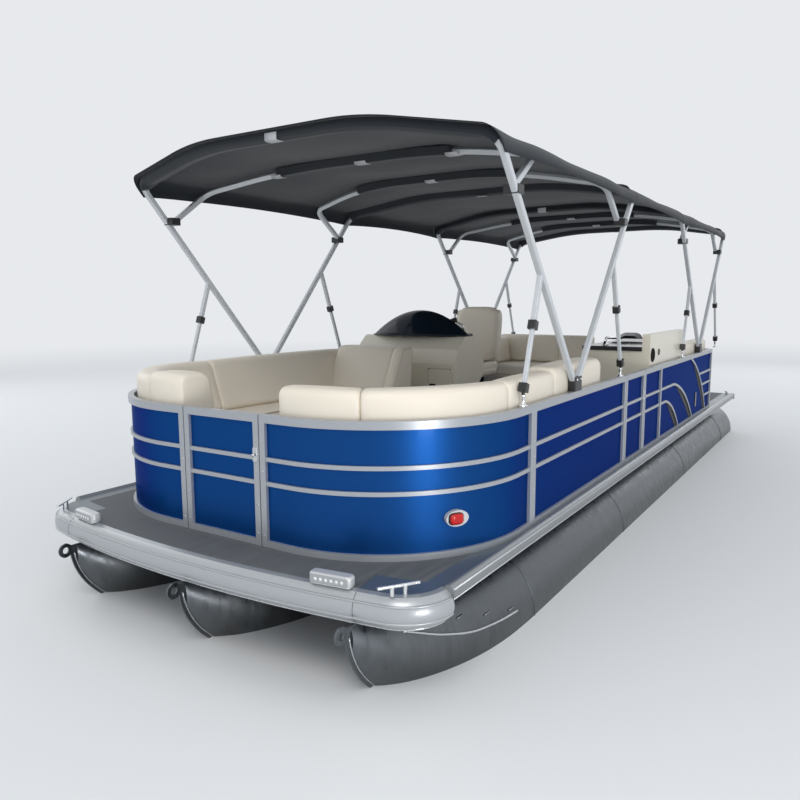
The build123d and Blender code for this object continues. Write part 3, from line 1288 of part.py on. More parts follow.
# Lamps: a side light on each bow panel and a docking light bar on each side of the fascia
LAMP_ANGLE = 57.8
LAMP_HEIGHT = 179.0
LAMP_HALF = (38.0, 58.0)
LAMP_THICK = 24.0
BAR_AFT = 110.0
BAR_INSET = 455.0
BAR_TURN = 8.0
BAR_SIZE = (190.0, 52.0)
BAR_HEIGHT = 44.0
with BuildPart() as lamps:
    for side in (1, -1):
        outward = Vector(cos(radians(LAMP_ANGLE)), side * sin(radians(LAMP_ANGLE)), 0)
        corner_y = side * (FENCE_SIDE - FENCE_CORNER_R)
        corner = Vector(aft(FENCE_FRONT + FENCE_CORNER_R), corner_y, deck(LAMP_HEIGHT))
        face = corner + outward * (FENCE_CORNER_R - PANEL_INSET + SEAT_GAP)
        with BuildSketch(Plane(origin=face, x_dir=(0, 0, 1), z_dir=outward)):
            Ellipse(*LAMP_HALF)
        extrude(amount=LAMP_THICK)
        bar_y = side * (HALF_BEAM - BAR_INSET)
        across = (-sin(radians(BAR_TURN)) * side, cos(radians(BAR_TURN)), 0)
        with BuildSketch(Plane(origin=(aft(BAR_AFT), bar_y, DECK_TOP), x_dir=across, z_dir=(0, 0, 1))):
            RectangleRounded(*BAR_SIZE, 14)
        extrude(amount=BAR_HEIGHT)
save(lamps, "lamps")
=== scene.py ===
import math

import bmesh
import bpy
from mathutils import Matrix, Vector


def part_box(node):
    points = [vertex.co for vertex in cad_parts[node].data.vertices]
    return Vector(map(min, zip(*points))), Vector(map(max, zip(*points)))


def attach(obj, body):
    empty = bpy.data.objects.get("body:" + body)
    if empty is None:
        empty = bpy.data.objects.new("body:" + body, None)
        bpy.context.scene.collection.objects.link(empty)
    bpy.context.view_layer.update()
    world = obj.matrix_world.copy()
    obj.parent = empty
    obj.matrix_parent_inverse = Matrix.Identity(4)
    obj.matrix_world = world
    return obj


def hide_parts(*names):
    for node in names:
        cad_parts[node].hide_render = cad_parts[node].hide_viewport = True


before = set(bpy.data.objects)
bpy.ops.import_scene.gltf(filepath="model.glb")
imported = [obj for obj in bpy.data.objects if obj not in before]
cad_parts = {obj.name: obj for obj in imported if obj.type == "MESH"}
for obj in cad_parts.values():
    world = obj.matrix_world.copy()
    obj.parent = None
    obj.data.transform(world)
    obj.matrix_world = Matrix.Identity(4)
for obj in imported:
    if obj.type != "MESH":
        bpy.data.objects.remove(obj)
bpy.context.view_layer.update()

# The camera stands off the port bow at about standing height, and looks aft and across the boat.
# Places along the boat are counted aft from the front of the bow fascia, heights from the deck.
BOW_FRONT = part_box("bow_fascia")[1].x
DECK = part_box("deck_board")[1].z
AHEAD, PORT, UP = Vector((1, 0, 0)), Vector((0, 1, 0)), Vector((0, 0, 1))
HANDS = ((1, "port"), (-1, "starboard"))
CAMERA_AHEAD, CAMERA_PORT, CAMERA_RISE = 2.109, 2.608, 1.153
CAMERA_TURN, CAMERA_DIP, CAMERA_ROLL = (math.radians(a) for a in (32.99, 7.84, -0.26))


def aft(distance):
    """X of a point this far behind the front of the bow fascia."""
    return BOW_FRONT - distance


def deck(height):
    """Z of a point this far above the deck."""
    return DECK + height


def at(distance, side, height):
    """Place this far aft, to port, and above the deck."""
    return Vector((aft(distance), side, deck(height)))


camera = bpy.data.objects.new("camera", bpy.data.cameras.new("camera"))
bpy.context.scene.collection.objects.link(camera)
bpy.context.scene.camera = camera
camera.data.lens = 32.32
camera.data.clip_end = 200
level = math.cos(CAMERA_DIP)
sight = Vector((-math.cos(CAMERA_TURN) * level, -math.sin(CAMERA_TURN) * level, -math.sin(CAMERA_DIP)))
level_right = sight.cross(UP).normalized()
level_up = level_right.cross(sight)
right = level_right * math.cos(CAMERA_ROLL) + level_up * math.sin(CAMERA_ROLL)
up = -level_right * math.sin(CAMERA_ROLL) + level_up * math.cos(CAMERA_ROLL)
turn = Matrix((right, up, -sight)).transposed().to_4x4()
camera.matrix_world = Matrix.Translation(at(-CAMERA_AHEAD, CAMERA_PORT, CAMERA_RISE)) @ turn

# Studio: a pale floor at the waterline, whose far part glows like the bright surround so that no
# horizon shows, and soft light from ahead, low at the port bow, from starboard and from astern
WATERLINE = DECK - 0.48
FLOOR_HALF = 60.0
PALE = (0.93, 0.95, 0.98, 1)
PALE_LEVEL = 0.86
bpy.context.scene.view_settings.view_transform = "Standard"


def mesh_piece(name, points, faces, made, smooth=True, closed=False):
    """Mesh object with its normals outward and its finish on. Where closed, its open ends are filled."""
    mesh = bpy.data.meshes.new(name)
    mesh.from_pydata([tuple(p) for p in points], [], faces)
    work = bmesh.new()
    work.from_mesh(mesh)
    bmesh.ops.remove_doubles(work, verts=work.verts, dist=1e-6)
    if closed:
        bmesh.ops.dissolve_degenerate(work, edges=work.edges, dist=1e-7)
        bmesh.ops.holes_fill(work, edges=[edge for edge in work.edges if edge.is_boundary])
    bmesh.ops.recalc_face_normals(work, faces=work.faces)
    work.to_mesh(mesh)
    work.free()
    mesh.validate()
    mesh.materials.append(made)
    piece = bpy.data.objects.new(name, mesh)
    bpy.context.scene.collection.objects.link(piece)
    for polygon in mesh.polygons:
        polygon.use_smooth = smooth
    return piece


def fill(made, node, sockets):
    """Gives a node's sockets values, or other nodes' outputs."""
    node = made.node_tree.nodes[node] if isinstance(node, str) else node
    for socket, value in sockets.items():
        if isinstance(value, bpy.types.NodeSocket):
            made.node_tree.links.new(value, node.inputs[socket])
        else:
            node.inputs[socket].default_value = value
    return node


def add_node(made, kind, sockets, **options):
    """New shader node, with its options and sockets set."""
    node = made.node_tree.nodes.new("ShaderNode" + kind)
    for option, value in options.items():
        setattr(node, option, value)
    return fill(made, node, sockets)


def seen(made):
    """1 for rays from the camera and for mirrored ones, so that both meet the pale surround."""
    ray = add_node(made, "LightPath", {})
    views = {0: ray.outputs["Is Camera Ray"], 1: ray.outputs["Is Glossy Ray"]}
    return add_node(made, "Math", views, operation="MAXIMUM").outputs[0]


paint = bpy.data.materials.new("floor_paint")
paint.use_nodes = True
dull = {"Base Color": (0.84, 0.85, 0.86, 1), "Roughness": 0.7, "Specular IOR Level": 0.2}
matt = fill(paint, "Principled BSDF", dull)
place = add_node(paint, "TexCoord", {}).outputs["Object"]
reach = add_node(paint, "VectorMath", {0: place}, operation="LENGTH")
fade_range = {"Value": reach.outputs["Value"], "From Min": 6.0, "From Max": 26.0}
fade = add_node(paint, "MapRange", fade_range, interpolation_type="SMOOTHSTEP")
share = add_node(paint, "Math", {0: fade.outputs["Result"], 1: seen(paint)}, operation="MULTIPLY")
glow = add_node(paint, "Emission", {"Color": PALE, "Strength": PALE_LEVEL})
either = add_node(paint, "MixShader", {"Fac": share.outputs[0], 1: matt.outputs[0], 2: glow.outputs[0]})
fill(paint, "Material Output", {"Surface": either.outputs[0]})
corners = [(x * FLOOR_HALF, y * FLOOR_HALF, WATERLINE) for x, y in ((-1, -1), (1, -1), (1, 1), (-1, 1))]
floor = mesh_piece("floor", corners, [(0, 1, 2, 3)], paint)

world = bpy.data.worlds.new("surround")
bpy.context.scene.world = world
world.use_nodes = True
ambient = fill(world, "Background", {"Color": (0.92, 0.96, 1.0, 1), "Strength": 0.74})
pale = add_node(world, "Background", {"Color": PALE, "Strength": PALE_LEVEL})
either = add_node(world, "MixShader", {"Fac": seen(world), 1: ambient.outputs[0], 2: pale.outputs[0]})
fill(world, "World Output", {"Surface": either.outputs[0]})


def soft_box(name, place, target, size, power, tint=(1, 1, 1), spread=180):
    """Square studio light at one point, turned to face another."""
    lamp = bpy.data.lights.new(name, "AREA")
    lamp.size = size
    lamp.energy = power
    lamp.color = tint
    lamp.spread = math.radians(spread)
    holder = bpy.data.objects.new(name, lamp)
    bpy.context.scene.collection.objects.link(holder)
    holder.location = place
    holder.rotation_euler = (Vector(target) - Vector(place)).to_track_quat("-Z", "Y").to_euler()


soft_box("key_light", (9.0, 3.5, 8.5), (1.0, 0, 1), 4.0, 250, (1.0, 0.98, 0.95))
soft_box("bow_light", (6.2, 5.9, 0.95), (3.8, 1.0, 0.95), 1.2, 21, spread=90)
soft_box("starboard_light", (2.0, -11.0, 6.0), (0, 0, 1), 7.0, 150)
soft_box("stern_light", (-12.0, 2.0, 6.0), (-2, 0, 1), 6.0, 110)

# Floats: three welded tubes of unpainted aluminium sheet, with a brownish film heaviest low on each tube
# and streaked upward, partly stains from the water and partly a painted reflection of warm surroundings.
# A bead runs round each joint between sheets, and along both sides of each nose's leading seam.
TUBE_R = 0.3175
TUBE_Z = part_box("tube_center")[0].z + 0.012 + TUBE_R
TUBE_TOP = TUBE_Z + TUBE_R
OUTER_TUBE_Y = 0.9325
NOSE_LENGTH = 1.2
NOSE_TIPS = ((OUTER_TUBE_Y, 0.068), (0.0, 0.016), (-OUTER_TUBE_Y, 0.068))
JOINTS_AFT = (1.268, 2.9, 4.9, 6.9)
BEAD = 0.004
SEAM_BEAD = 0.0035


def finish(name, color, rough, metallic, grain, stretch, vary, uneven, bump, sockets=None):
    """Finish whose grain varies its colour, its roughness and, slightly, its surface."""
    made = bpy.data.materials.new(name)
    made.use_nodes = True
    place = add_node(made, "TexCoord", {}).outputs["Object"]
    spread = add_node(made, "Mapping", {"Vector": place, "Scale": stretch}).outputs["Vector"]
    noise = add_node(made, "TexNoise", {"Vector": spread, "Scale": grain, "Detail": 5}).outputs["Fac"]
    dark, light = [[min(1, c * scale) for c in color] for scale in (1 - vary, 1 + vary)]
    tones = {"Factor": noise, "A": (*dark, 1), "B": (*light, 1)}
    tone = add_node(made, "Mix", tones, name="tone", data_type="RGBA")
    ends = {"To Min": max(0.02, rough - uneven), "To Max": min(1.0, rough + uneven)}
    gloss = add_node(made, "MapRange", {"Value": noise, "From Min": 0.3, "From Max": 0.7, **ends})
    relief = add_node(made, "Bump", {"Height": noise, "Strength": bump, "Distance": 0.002}, name="relief")
    shader = {"Base Color": tone.outputs["Result"], "Roughness": gloss.outputs["Result"]}
    fill(made, "Principled BSDF", {**shader, "Normal": relief.outputs["Normal"], "Metallic": metallic})
    fill(made, "Principled BSDF", sockets or {})
    return made


def film(made, color, share):
    """Lays a second colour over a finish, by a share from 0 to 1."""
    tone = made.node_tree.nodes["tone"].outputs["Result"]
    over = add_node(made, "Mix", {"Factor": share, "A": tone, "B": (*color, 1)}, data_type="RGBA")
    fill(made, "Principled BSDF", {"Base Color": over.outputs["Result"]})


def put_on(made, *nodes):
    """Gives CAD nodes a finish."""
    for node in nodes:
        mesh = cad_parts[node].data
        mesh.materials.clear()
        mesh.materials.append(made)


def quads(rows, columns, ring=True, start=0):
    """Faces between rows of points. Each row closes into a ring, or stays open."""
    faces = []
    for row in range(rows - 1):
        low = start + row * columns
        for k in range(columns if ring else columns - 1):
            n = (k + 1) % columns
            faces.append((low + k, low + n, low + columns + n, low + columns + k))
    return faces


def disc(radius, count=12, flat=1.0):
    """Points round a circle or, where flat isn't 1, round an oval."""
    turns = [2 * math.pi * k / count for k in range(count)]
    return [(radius * math.cos(a), flat * radius * math.sin(a)) for a in turns]


def sweep(name, path, section, made, upright=UP, capped=True):
    """Sweeps a flat section, given as (sideways, upward) pairs, along a path of points."""
    path = [Vector(p) for p in path]
    points = []
    for index, point in enumerate(path):
        behind, ahead = path[max(index - 1, 0)], path[min(index + 1, len(path) - 1)]
        along = (ahead - behind).normalized()
        side = along.cross(upright).normalized()
        rise = side.cross(along).normalized()
        stretch = 1 / max(0.5, math.cos((point - behind).angle(ahead - point, 0.0) / 2))
        points += [point + side * across * stretch + rise * above for across, above in section]
    count = len(section)
    faces = quads(len(path), count)
    if capped:
        faces += [tuple(range(count)), tuple(range(len(points) - count, len(points)))]
    return mesh_piece(name, points, faces, made)


def join(name, pieces):
    """Joins pieces into one, whose faces keep their finishes, and names it."""
    merged = bmesh.new()
    finishes = []
    for piece in pieces:
        start = len(merged.faces)
        merged.from_mesh(piece.data)
        merged.faces.ensure_lookup_table()
        for face in merged.faces[start:]:
            made = piece.data.materials[face.material_index]
            if made not in finishes:
                finishes.append(made)
            face.material_index = finishes.index(made)
    base = pieces[0]
    base.data.materials.clear()
    for made in finishes:
        base.data.materials.append(made)
    merged.to_mesh(base.data)
    merged.free()
    base.name = base.data.name = name
    for piece in pieces[1:]:
        bpy.data.meshes.remove(piece.data)
    return base


def fix(piece, body="hull"):
    """Fixes a piece to a body."""
    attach(piece, body)


float_metal = finish("float_metal", (0.155, 0.17, 0.185), 0.36, 1.0, 14.0, (2.5, 2.5, 0.2), 0.30, 0.12, 0.05)
# Brownish film, heaviest low on the tube and in vertical streaks: partly water stains, partly painted
# reflection of warm surroundings
place = add_node(float_metal, "TexCoord", {}).outputs["Object"]
height = add_node(float_metal, "SeparateXYZ", {"Vector": place}).outputs["Z"]
span = {"From Min": 0.25, "From Max": 0.62, "To Min": 0.9, "To Max": 0.0}
fade = add_node(float_metal, "MapRange", {"Value": height, **span}).outputs["Result"]
tall = add_node(float_metal, "Mapping", {"Vector": place, "Scale": (1, 1, 0.2)}).outputs["Vector"]
streaks = add_node(float_metal, "TexNoise", {"Vector": tall, "Scale": 9.0, "Detail": 6}).outputs["Fac"]
stain_and_painted_reflection = add_node(float_metal, "Math", {0: fade, 1: streaks}, operation="MULTIPLY").outputs["Value"]
film(float_metal, (0.12, 0.115, 0.10), stain_and_painted_reflection)
put_on(float_metal, "tube_port", "tube_center", "tube_starboard")
bright_metal = finish("bright_metal", (0.62, 0.64, 0.66), 0.28, 1.0, 60.0, (0.2, 1, 1), 0.08, 0.06, 0.0)
rings, seams = [], []
for y, tip in NOSE_TIPS:
    for distance in JOINTS_AFT:
        loop = [(aft(distance), y + across, TUBE_Z + above) for across, above in disc(TUBE_R, 64)]
        rings.append(sweep("ring", [*loop, loop[0]], disc(BEAD, 8, 1.6), float_metal, AHEAD, capped=False))
    for way in (1, -1):
        line = []
        for k in range(41):
            a = math.radians(4 + 2 * k)
            x = aft(tip + NOSE_LENGTH) + (NOSE_LENGTH - 0.006) * math.cos(a)
            line.append((x, y + way * 0.007, TUBE_TOP - (2 * TUBE_R - 0.004) * math.sin(a)))
        seams.append(sweep("seam", line, disc(SEAM_BEAD, 8), bright_metal, PORT))
fix(join("weld_beads", rings))
fix(join("seam_beads", seams))

# Spray strakes: a thin bent aluminium strip welded round each outer nose, with three short tabs
# above it. Each is swept along points that are laid on the tube's own skin.
STRAKE = (
    (0.32, 1.04, -0.238), (0.40, 1.08, -0.268), (0.483, 1.117, -0.299), (0.564, 1.147, -0.322),
    (0.643, 1.172, -0.342), (0.735, 1.194, -0.357), (0.896, 1.219, -0.372), (1.076, 1.234, -0.384),
)
TABS = ((0.641, 1.139, -0.272), (0.82, 1.189, -0.312), (1.02, 1.226, -0.355))
TAB_HALF = 0.022
weld_metal = finish("weld_metal", (0.34, 0.35, 0.36), 0.4, 1.0, 60.0, (1, 1, 1), 0.1, 0.06, 0.0)


def on_skin(node, point, proud=0.0):
    """Nearest point of a CAD node's surface, moved outward by a small amount."""
    found, place, outward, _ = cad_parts[node].closest_point_on_mesh(Vector(point))
    return place + outward * proud


def curve_through(knots, step=8):
    """Smooth line through a few points."""
    knots = [knots[0] * 2 - knots[1], *knots, knots[-1] * 2 - knots[-2]]
    line = []
    for a, b, c, d in zip(knots, knots[1:], knots[2:], knots[3:]):
        for k in range(step):
            t = k / step
            bend = (2 * a - 5 * b + 4 * c - d) * t**2 + (3 * b - a - 3 * c + d) * t**3
            line.append(0.5 * (2 * b + (c - a) * t + bend))
    return line + [knots[-2]]


for side, hand in HANDS:
    held_by = [on_skin("tube_" + hand, at(d, side * y, z), 0.003) for d, y, z in STRAKE]
    strips = [sweep("strip", curve_through(held_by), disc(0.006, 8), bright_metal)]
    for d, y, z in TABS:
        ends = [on_skin("tube_" + hand, at(d + e, side * y, z), 0.002) for e in (-TAB_HALF, 0, TAB_HALF)]
        strips.append(sweep("tab", ends, disc(0.006, 8, 0.6), weld_metal))
    fix(join("spray_strake_" + hand, strips))

# Cross members: aluminium channels laid across the tubes to carry the deck, and the welded pod
# under the stern for the motor. Both keep the plain grey of the bare metal.
channel_metal = finish("channel_metal", (0.34, 0.35, 0.36), 0.45, 1.0, 20.0, (1, 0.4, 3), 0.2, 0.1, 0.05)
put_on(channel_metal, "cross_members")
pod_metal = finish("pod_metal", (0.38, 0.39, 0.40), 0.4, 1.0, 16.0, (0.4, 1, 3), 0.2, 0.1, 0.05)
put_on(pod_metal, "motor_pod")

# Deck: marine ply under a grey woven vinyl, whose grain runs fore and aft like weathered boards.
# The same vinyl laps over the bow fascia's flange, up to its nose, and stops at the corner caps.
FASCIA_R = 6.5
FASCIA_X = aft(0) - FASCIA_R
CAP_SEAM_Y = 0.96
SEAM_ANGLE = math.asin(CAP_SEAM_Y / FASCIA_R)
LAP = ((-0.232, -0.001), (-0.232, 0.0022), (-0.066, 0.0022), (-0.0625, -0.001))
LAP_ROWS = 41
LAP_SHARE = 0.9985


def fine_relief(made, kind, sockets, output, strength, distance, **options):
    """Lays a texture's finer relief over a finish's own."""
    place = add_node(made, "TexCoord", {}).outputs["Object"]
    texture = add_node(made, kind, {"Vector": place, **sockets}, **options)
    under = made.node_tree.nodes["relief"].outputs["Normal"]
    values = {"Height": texture.outputs[output], "Normal": under, "Strength": strength, "Distance": distance}
    fill(made, "Principled BSDF", {"Normal": add_node(made, "Bump", values).outputs["Normal"]})


deck_vinyl = finish("deck_vinyl", (0.108, 0.116, 0.122), 0.72, 0.0, 7.0, (0.5, 9, 1), 0.40, 0.1, 0.15)
fine_relief(deck_vinyl, "TexNoise", {"Scale": 420}, "Fac", 0.35, 0.001)
put_on(deck_vinyl, "deck_board")
points = []
for k in range(LAP_ROWS):
    a = SEAM_ANGLE * (2 * k / (LAP_ROWS - 1) - 1) * LAP_SHARE
    for reach, height in LAP:
        x, y = (FASCIA_R + reach) * math.cos(a), (FASCIA_R + reach) * math.sin(a)
        points.append((FASCIA_X + x, y, deck(height)))
faces = [*quads(LAP_ROWS, 4), (0, 1, 2, 3), tuple(range(len(points) - 4, len(points)))]
fix(mesh_piece("deck_cover_bow", points, faces, deck_vinyl, False))

# Bow fascia, corner caps and rub rails: anodised extrusions screwed round the deck's edge. Their flat
# tops get painted shade, a darker colour that stands for the dark surroundings they reflect. Rolled
# ridges run along their round noses, and a joint line beside each cap.
HALF_BEAM = 1.285
CAP_R = 0.24
CAP_Y = HALF_BEAM - CAP_R
CAP_ANGLE = math.asin(CAP_Y / (FASCIA_R - CAP_R))
CAP_X = FASCIA_X + (FASCIA_R - CAP_R) * math.cos(CAP_ANGLE)
NOSE = ((-0.044, -0.140), (0.0, -0.070), (-0.040, -0.006))
RUB_RAIL = ((-0.034, 0.014), (0.0, -0.024), (-0.034, -0.062))
FLAT_TOP_PAINTED_SHADE = (0.15, 0.18, 0.205)
fascia_metal = finish("fascia_metal", (0.45, 0.47, 0.49), 0.32, 0.5, 30.0, (0.2, 0.2, 4), 0.02, 0.04, 0.0)
rail_metal = finish("rail_metal", (0.27, 0.285, 0.30), 0.34, 0.5, 30.0, (0.2, 0.2, 4), 0.02, 0.04, 0.0)
# Painted shade: faces that look upward get a darker colour, for the dark surroundings they reflect
for made in (fascia_metal, rail_metal):
    facing = add_node(made, "NewGeometry", {}).outputs["Normal"]
    upward = add_node(made, "SeparateXYZ", {"Vector": facing}).outputs["Z"]
    flat = add_node(made, "MapRange", {"Value": upward, "From Min": 0.93, "From Max": 0.995})
    film(made, FLAT_TOP_PAINTED_SHADE, flat.outputs["Result"])
put_on(fascia_metal, "bow_fascia", "bow_corner_caps")
put_on(rail_metal, "side_rails", "stern_rail")
joint_black = finish("joint_black", (0.015, 0.015, 0.016), 0.6, 0.0, 90.0, (1, 1, 1), 0.1, 0.05, 0.0)


def circle_through(a, b, c):
    """Centre and radius of the circle through three (x, y) points."""
    (ax, ay), (bx, by), (cx, cy) = a, b, c
    d = 2 * (ax * (by - cy) + bx * (cy - ay) + cx * (ay - by))
    aa, bb, cc = ax * ax + ay * ay, bx * bx + by * by, cx * cx + cy * cy
    x = (aa * (by - cy) + bb * (cy - ay) + cc * (ay - by)) / d
    y = (aa * (cx - bx) + bb * (ax - cx) + cc * (bx - ax)) / d
    return x, y, math.hypot(ax - x, ay - y)


def bulge(arc, height):
    """How far out the arc through three (outward, upward) points is at a height."""
    x, y, radius = circle_through(*arc)
    return x + math.sqrt(radius**2 - (height - y) ** 2)


def bow_edge(reach, height):
    """Line round the bow fascia and both caps, moved out by reach, at a height from the deck."""
    line = []
    for k in range(17):
        a = -math.pi / 2 + (math.pi / 2 - CAP_ANGLE) * k / 16
        line.append((CAP_X + (CAP_R + reach) * math.cos(a), -CAP_Y + (CAP_R + reach) * math.sin(a)))
    cap = line[:]
    for k in range(1, 48):
        a = CAP_ANGLE * (k / 24 - 1)
        line.append((FASCIA_X + (FASCIA_R + reach) * math.cos(a), (FASCIA_R + reach) * math.sin(a)))
    line += [(x, -y) for x, y in reversed(cap)]
    return [(x, y, deck(height)) for x, y in line]


ridges = []
for height in (-0.034, -0.104):
    edge = bow_edge(bulge(NOSE, height) + 0.0005, height)
    ridges.append(sweep("ridge", edge, disc(0.0055, 10), fascia_metal))
ridges.append(sweep("lip", bow_edge(-0.045, -0.141), disc(0.006, 8, 0.7), bright_metal))
for side in (1, -1):
    for height in (-0.004, -0.044):
        y = side * (HALF_BEAM + bulge(RUB_RAIL, height) - 0.0005)
        run = [(CAP_X - 0.002, y, deck(height)), at(7.47, y, height)]
        ridges.append(sweep("ridge", run, disc(0.0045, 8), fascia_metal))
    a = side * SEAM_ANGLE
    joint = []
    for k in range(15):
        height = -0.008 - 0.130 * k / 14
        reach = FASCIA_R + bulge(NOSE, height) - 0.0005
        joint.append((FASCIA_X + reach * math.cos(a), reach * math.sin(a), deck(height)))
    ridges.append(sweep("joint", joint, disc(0.0014, 6), joint_black, PORT))
fix(join("fascia_ridges", ridges))

# Fence: silver anodised square tube in frames, with metallic blue aluminium sheet behind them.
# The three gates are made the same way, each with its own frame and sheet.
frame_metal = finish("frame_metal", (0.41, 0.43, 0.46), 0.34, 0.45, 40.0, (0.2, 0.2, 4), 0.02, 0.03, 0.0)
put_on(frame_metal, "fence_bow_port", "fence_bow_starboard", "fence_port_forward", "fence_port_aft")
put_on(frame_metal, "fence_starboard", "fence_stern", "bow_gate_frame", "side_gate_frame", "stern_gate_frame")
coat = {"Coat Weight": 0.06, "Coat Roughness": 0.08}
glaze = {"Specular IOR Level": 0.0, "Specular Tint": (0.03, 0.21, 0.45, 1), **coat}
PANEL_BLUE = (0.008, 0.064, 0.245)
panel_paint = finish("panel_paint", PANEL_BLUE, 0.38, 0.78, 60.0, (1, 1, 1), 0.03, 0.02, 0.0, glaze)
put_on(panel_paint, "fence_panels", "bow_gate_panel", "side_gate_panel", "stern_gate_panel")

# Swept bands: black vinyl on the panels, inside each swept trim, widening from nothing at its head.
# Ahead of the last one is a small plate, dark and pale, which stays blank.
PANEL_Y = 1.214
SWEPT = ((4.420, 0.424, 5.257), (4.132, 0.307, 4.652), (5.117, 0.596, 5.914))
SWEPT_FOOT = 0.020
BAND_WIDTH = 0.060
BAND_ROWS = 49
BAND_LOW, BAND_HIGH = 0.0305, 0.5955
MATT = {"Specular IOR Level": 0.08}
band_black = finish("band_black", (0.010, 0.011, 0.012), 0.34, 0.0, 120.0, (1, 1, 1), 0.1, 0.05, 0.0, MATT)
plate_grey = finish("plate_grey", (0.34, 0.34, 0.33), 0.4, 0.2, 120.0, (1, 1, 1), 0.05, 0.05, 0.0)
PLATES = ((5.43, 0.002, 0.056, band_black), (5.444, 0.0035, 0.026, plate_grey))


def turned(name, profile, origin, axis, made, count=32):
    """Solid of revolution from (radius, distance along the axis) pairs. Its open ends are filled."""
    axis = Vector(axis).normalized()
    first = axis.cross(UP if abs(axis.z) < 0.9 else AHEAD).normalized()
    second = axis.cross(first)
    points = []
    for radius, distance in profile:
        centre = Vector(origin) + axis * distance
        points += [centre + first * across + second * above for across, above in disc(radius, count)]
    return mesh_piece(name, points, quads(len(profile), count), made, closed=True)


def slab(name, size, place, made, round_off=0.004, x_axis=AHEAD, z_axis=UP, corner=0.0):
    """Plate with rounded corners and a rolled edge, centred at a place. corner is its outline's radius."""
    x_axis, z_axis = x_axis.normalized(), z_axis.normalized()
    y_axis = z_axis.cross(x_axis)
    half_x, half_y, half_z = (s / 2 for s in size)
    corner = min(max(corner, round_off), half_x, half_y)
    roll = [math.pi / 8 * k for k in range(5)]
    roll = [(round_off * (1 - math.cos(a)), half_z - round_off * (1 - math.sin(a))) for a in roll]
    rings = [*reversed(roll), *[(inset, -height) for inset, height in roll]]
    points = []
    for inset, height in rings:
        r = max(corner - inset, 0.0005)
        for sx, sy, start in ((1, 1, 0), (-1, 1, 1), (-1, -1, 2), (1, -1, 3)):
            for k in range(6):
                a = math.pi / 2 * (start + k / 5)
                x, y = sx * (half_x - corner) + r * math.cos(a), sy * (half_y - corner) + r * math.sin(a)
                points.append(Vector(place) + x_axis * x + y_axis * y + z_axis * height)
    faces = [*quads(len(rings), 24), tuple(range(24)), tuple(range(len(points) - 24, len(points)))]
    piece = mesh_piece(name, points, faces, made)
    for polygon in piece.data.polygons:
        polygon.use_smooth = len(polygon.vertices) == 4
    return piece


for side, hand in HANDS:
    bands = []
    for head, height, foot in SWEPT:
        middle = (head + 0.70 * (foot - head), SWEPT_FOOT + 0.48 * (height - SWEPT_FOOT))
        cx, cz, radius = circle_through((head, height), middle, (foot, SWEPT_FOOT))
        first = math.atan2(height - cz, head - cx)
        last = math.atan2(SWEPT_FOOT - cz, foot - cx)
        points = []
        for k in range(BAND_ROWS):
            share = k / (BAND_ROWS - 1)
            a = first + (last - first) * share
            grown = min(1.0, share / 0.55)
            inner = radius - 0.0092 - BAND_WIDTH * grown * grown * (3 - 2 * grown)
            outer = radius - 0.009
            for reach, proud in ((outer, -0.001), (outer, 0.0025), (inner, 0.0025), (inner, -0.001)):
                z = min(max(cz + reach * math.sin(a), BAND_LOW), BAND_HIGH)
                points.append(at(cx + reach * math.cos(a), side * (PANEL_Y + proud), z))
        bands.append(mesh_piece("band", points, quads(BAND_ROWS, 4), band_black, False))
    for distance, proud, width, made in PLATES:
        spot = at(distance, side * (PANEL_Y + proud), 0.17)
        bands.append(slab("plate", (width, 0.140, 0.004), spot, made, 0.001, AHEAD, PORT * side, 0.004))
    fix(join("swept_bands_" + hand, bands))

# Rivets and latches: domed heads that hold the sheets to the posts, on the fence and on each gate,
# and a small knob on a plate near the top of each gate's free edge
RIVET = [(0.0042, -0.001), (0.0042, 0.0005), (0.003, 0.0022), (0.0, 0.003)]
RIVET_Z = (0.060, 0.200, 0.365, 0.510)
POST_RIVETS = [(d, side * 1.23, PORT * side) for d in (1.274, 2.887, 3.421, 3.928, 6.146) for side in (1, -1)]
BOW_RIVETS = [(0.297, 0.278, AHEAD), (0.297, -0.278, AHEAD)]
RIVETS = {
    "hull": [*POST_RIVETS, *BOW_RIVETS, (6.163, 0.037, -AHEAD), (6.163, 0.603, -AHEAD)],
    "bow_gate": [(0.297, 0.238, AHEAD), (0.297, -0.238, AHEAD)],
    "side_gate": [(2.927, 1.23, PORT), (3.381, 1.23, PORT)],
    "stern_gate": [(6.163, 0.077, -AHEAD), (6.163, 0.563, -AHEAD)],
}
for body, spots in RIVETS.items():
    heads = []
    for d, y, way in spots:
        heads += [turned("rivet", RIVET, at(d, y, z), way, bright_metal, 10) for z in RIVET_Z]
    fix(join("rivets_" + body, heads), body)
LATCHES = (
    ("bow_gate", 0.296, 0.232, AHEAD),
    ("side_gate", 3.384, 1.231, PORT),
    ("stern_gate", 6.164, 0.083, -AHEAD),
)
LATCH_KNOB = [(0.007, 0.0), (0.006, 0.008), (0.009, 0.012), (0.007, 0.017), (0.0, 0.018)]
for body, distance, y, way in LATCHES:
    spot = at(distance, y, 0.44)
    plate = slab("plate", (0.028, 0.070, 0.004), spot, bright_metal, 0.0015, UP.cross(way), way, 0.006)
    knob = turned("knob", LATCH_KNOB, spot + way * 0.001, way, bright_metal, 16)
    fix(join("latch_" + body, [plate, knob]), body)

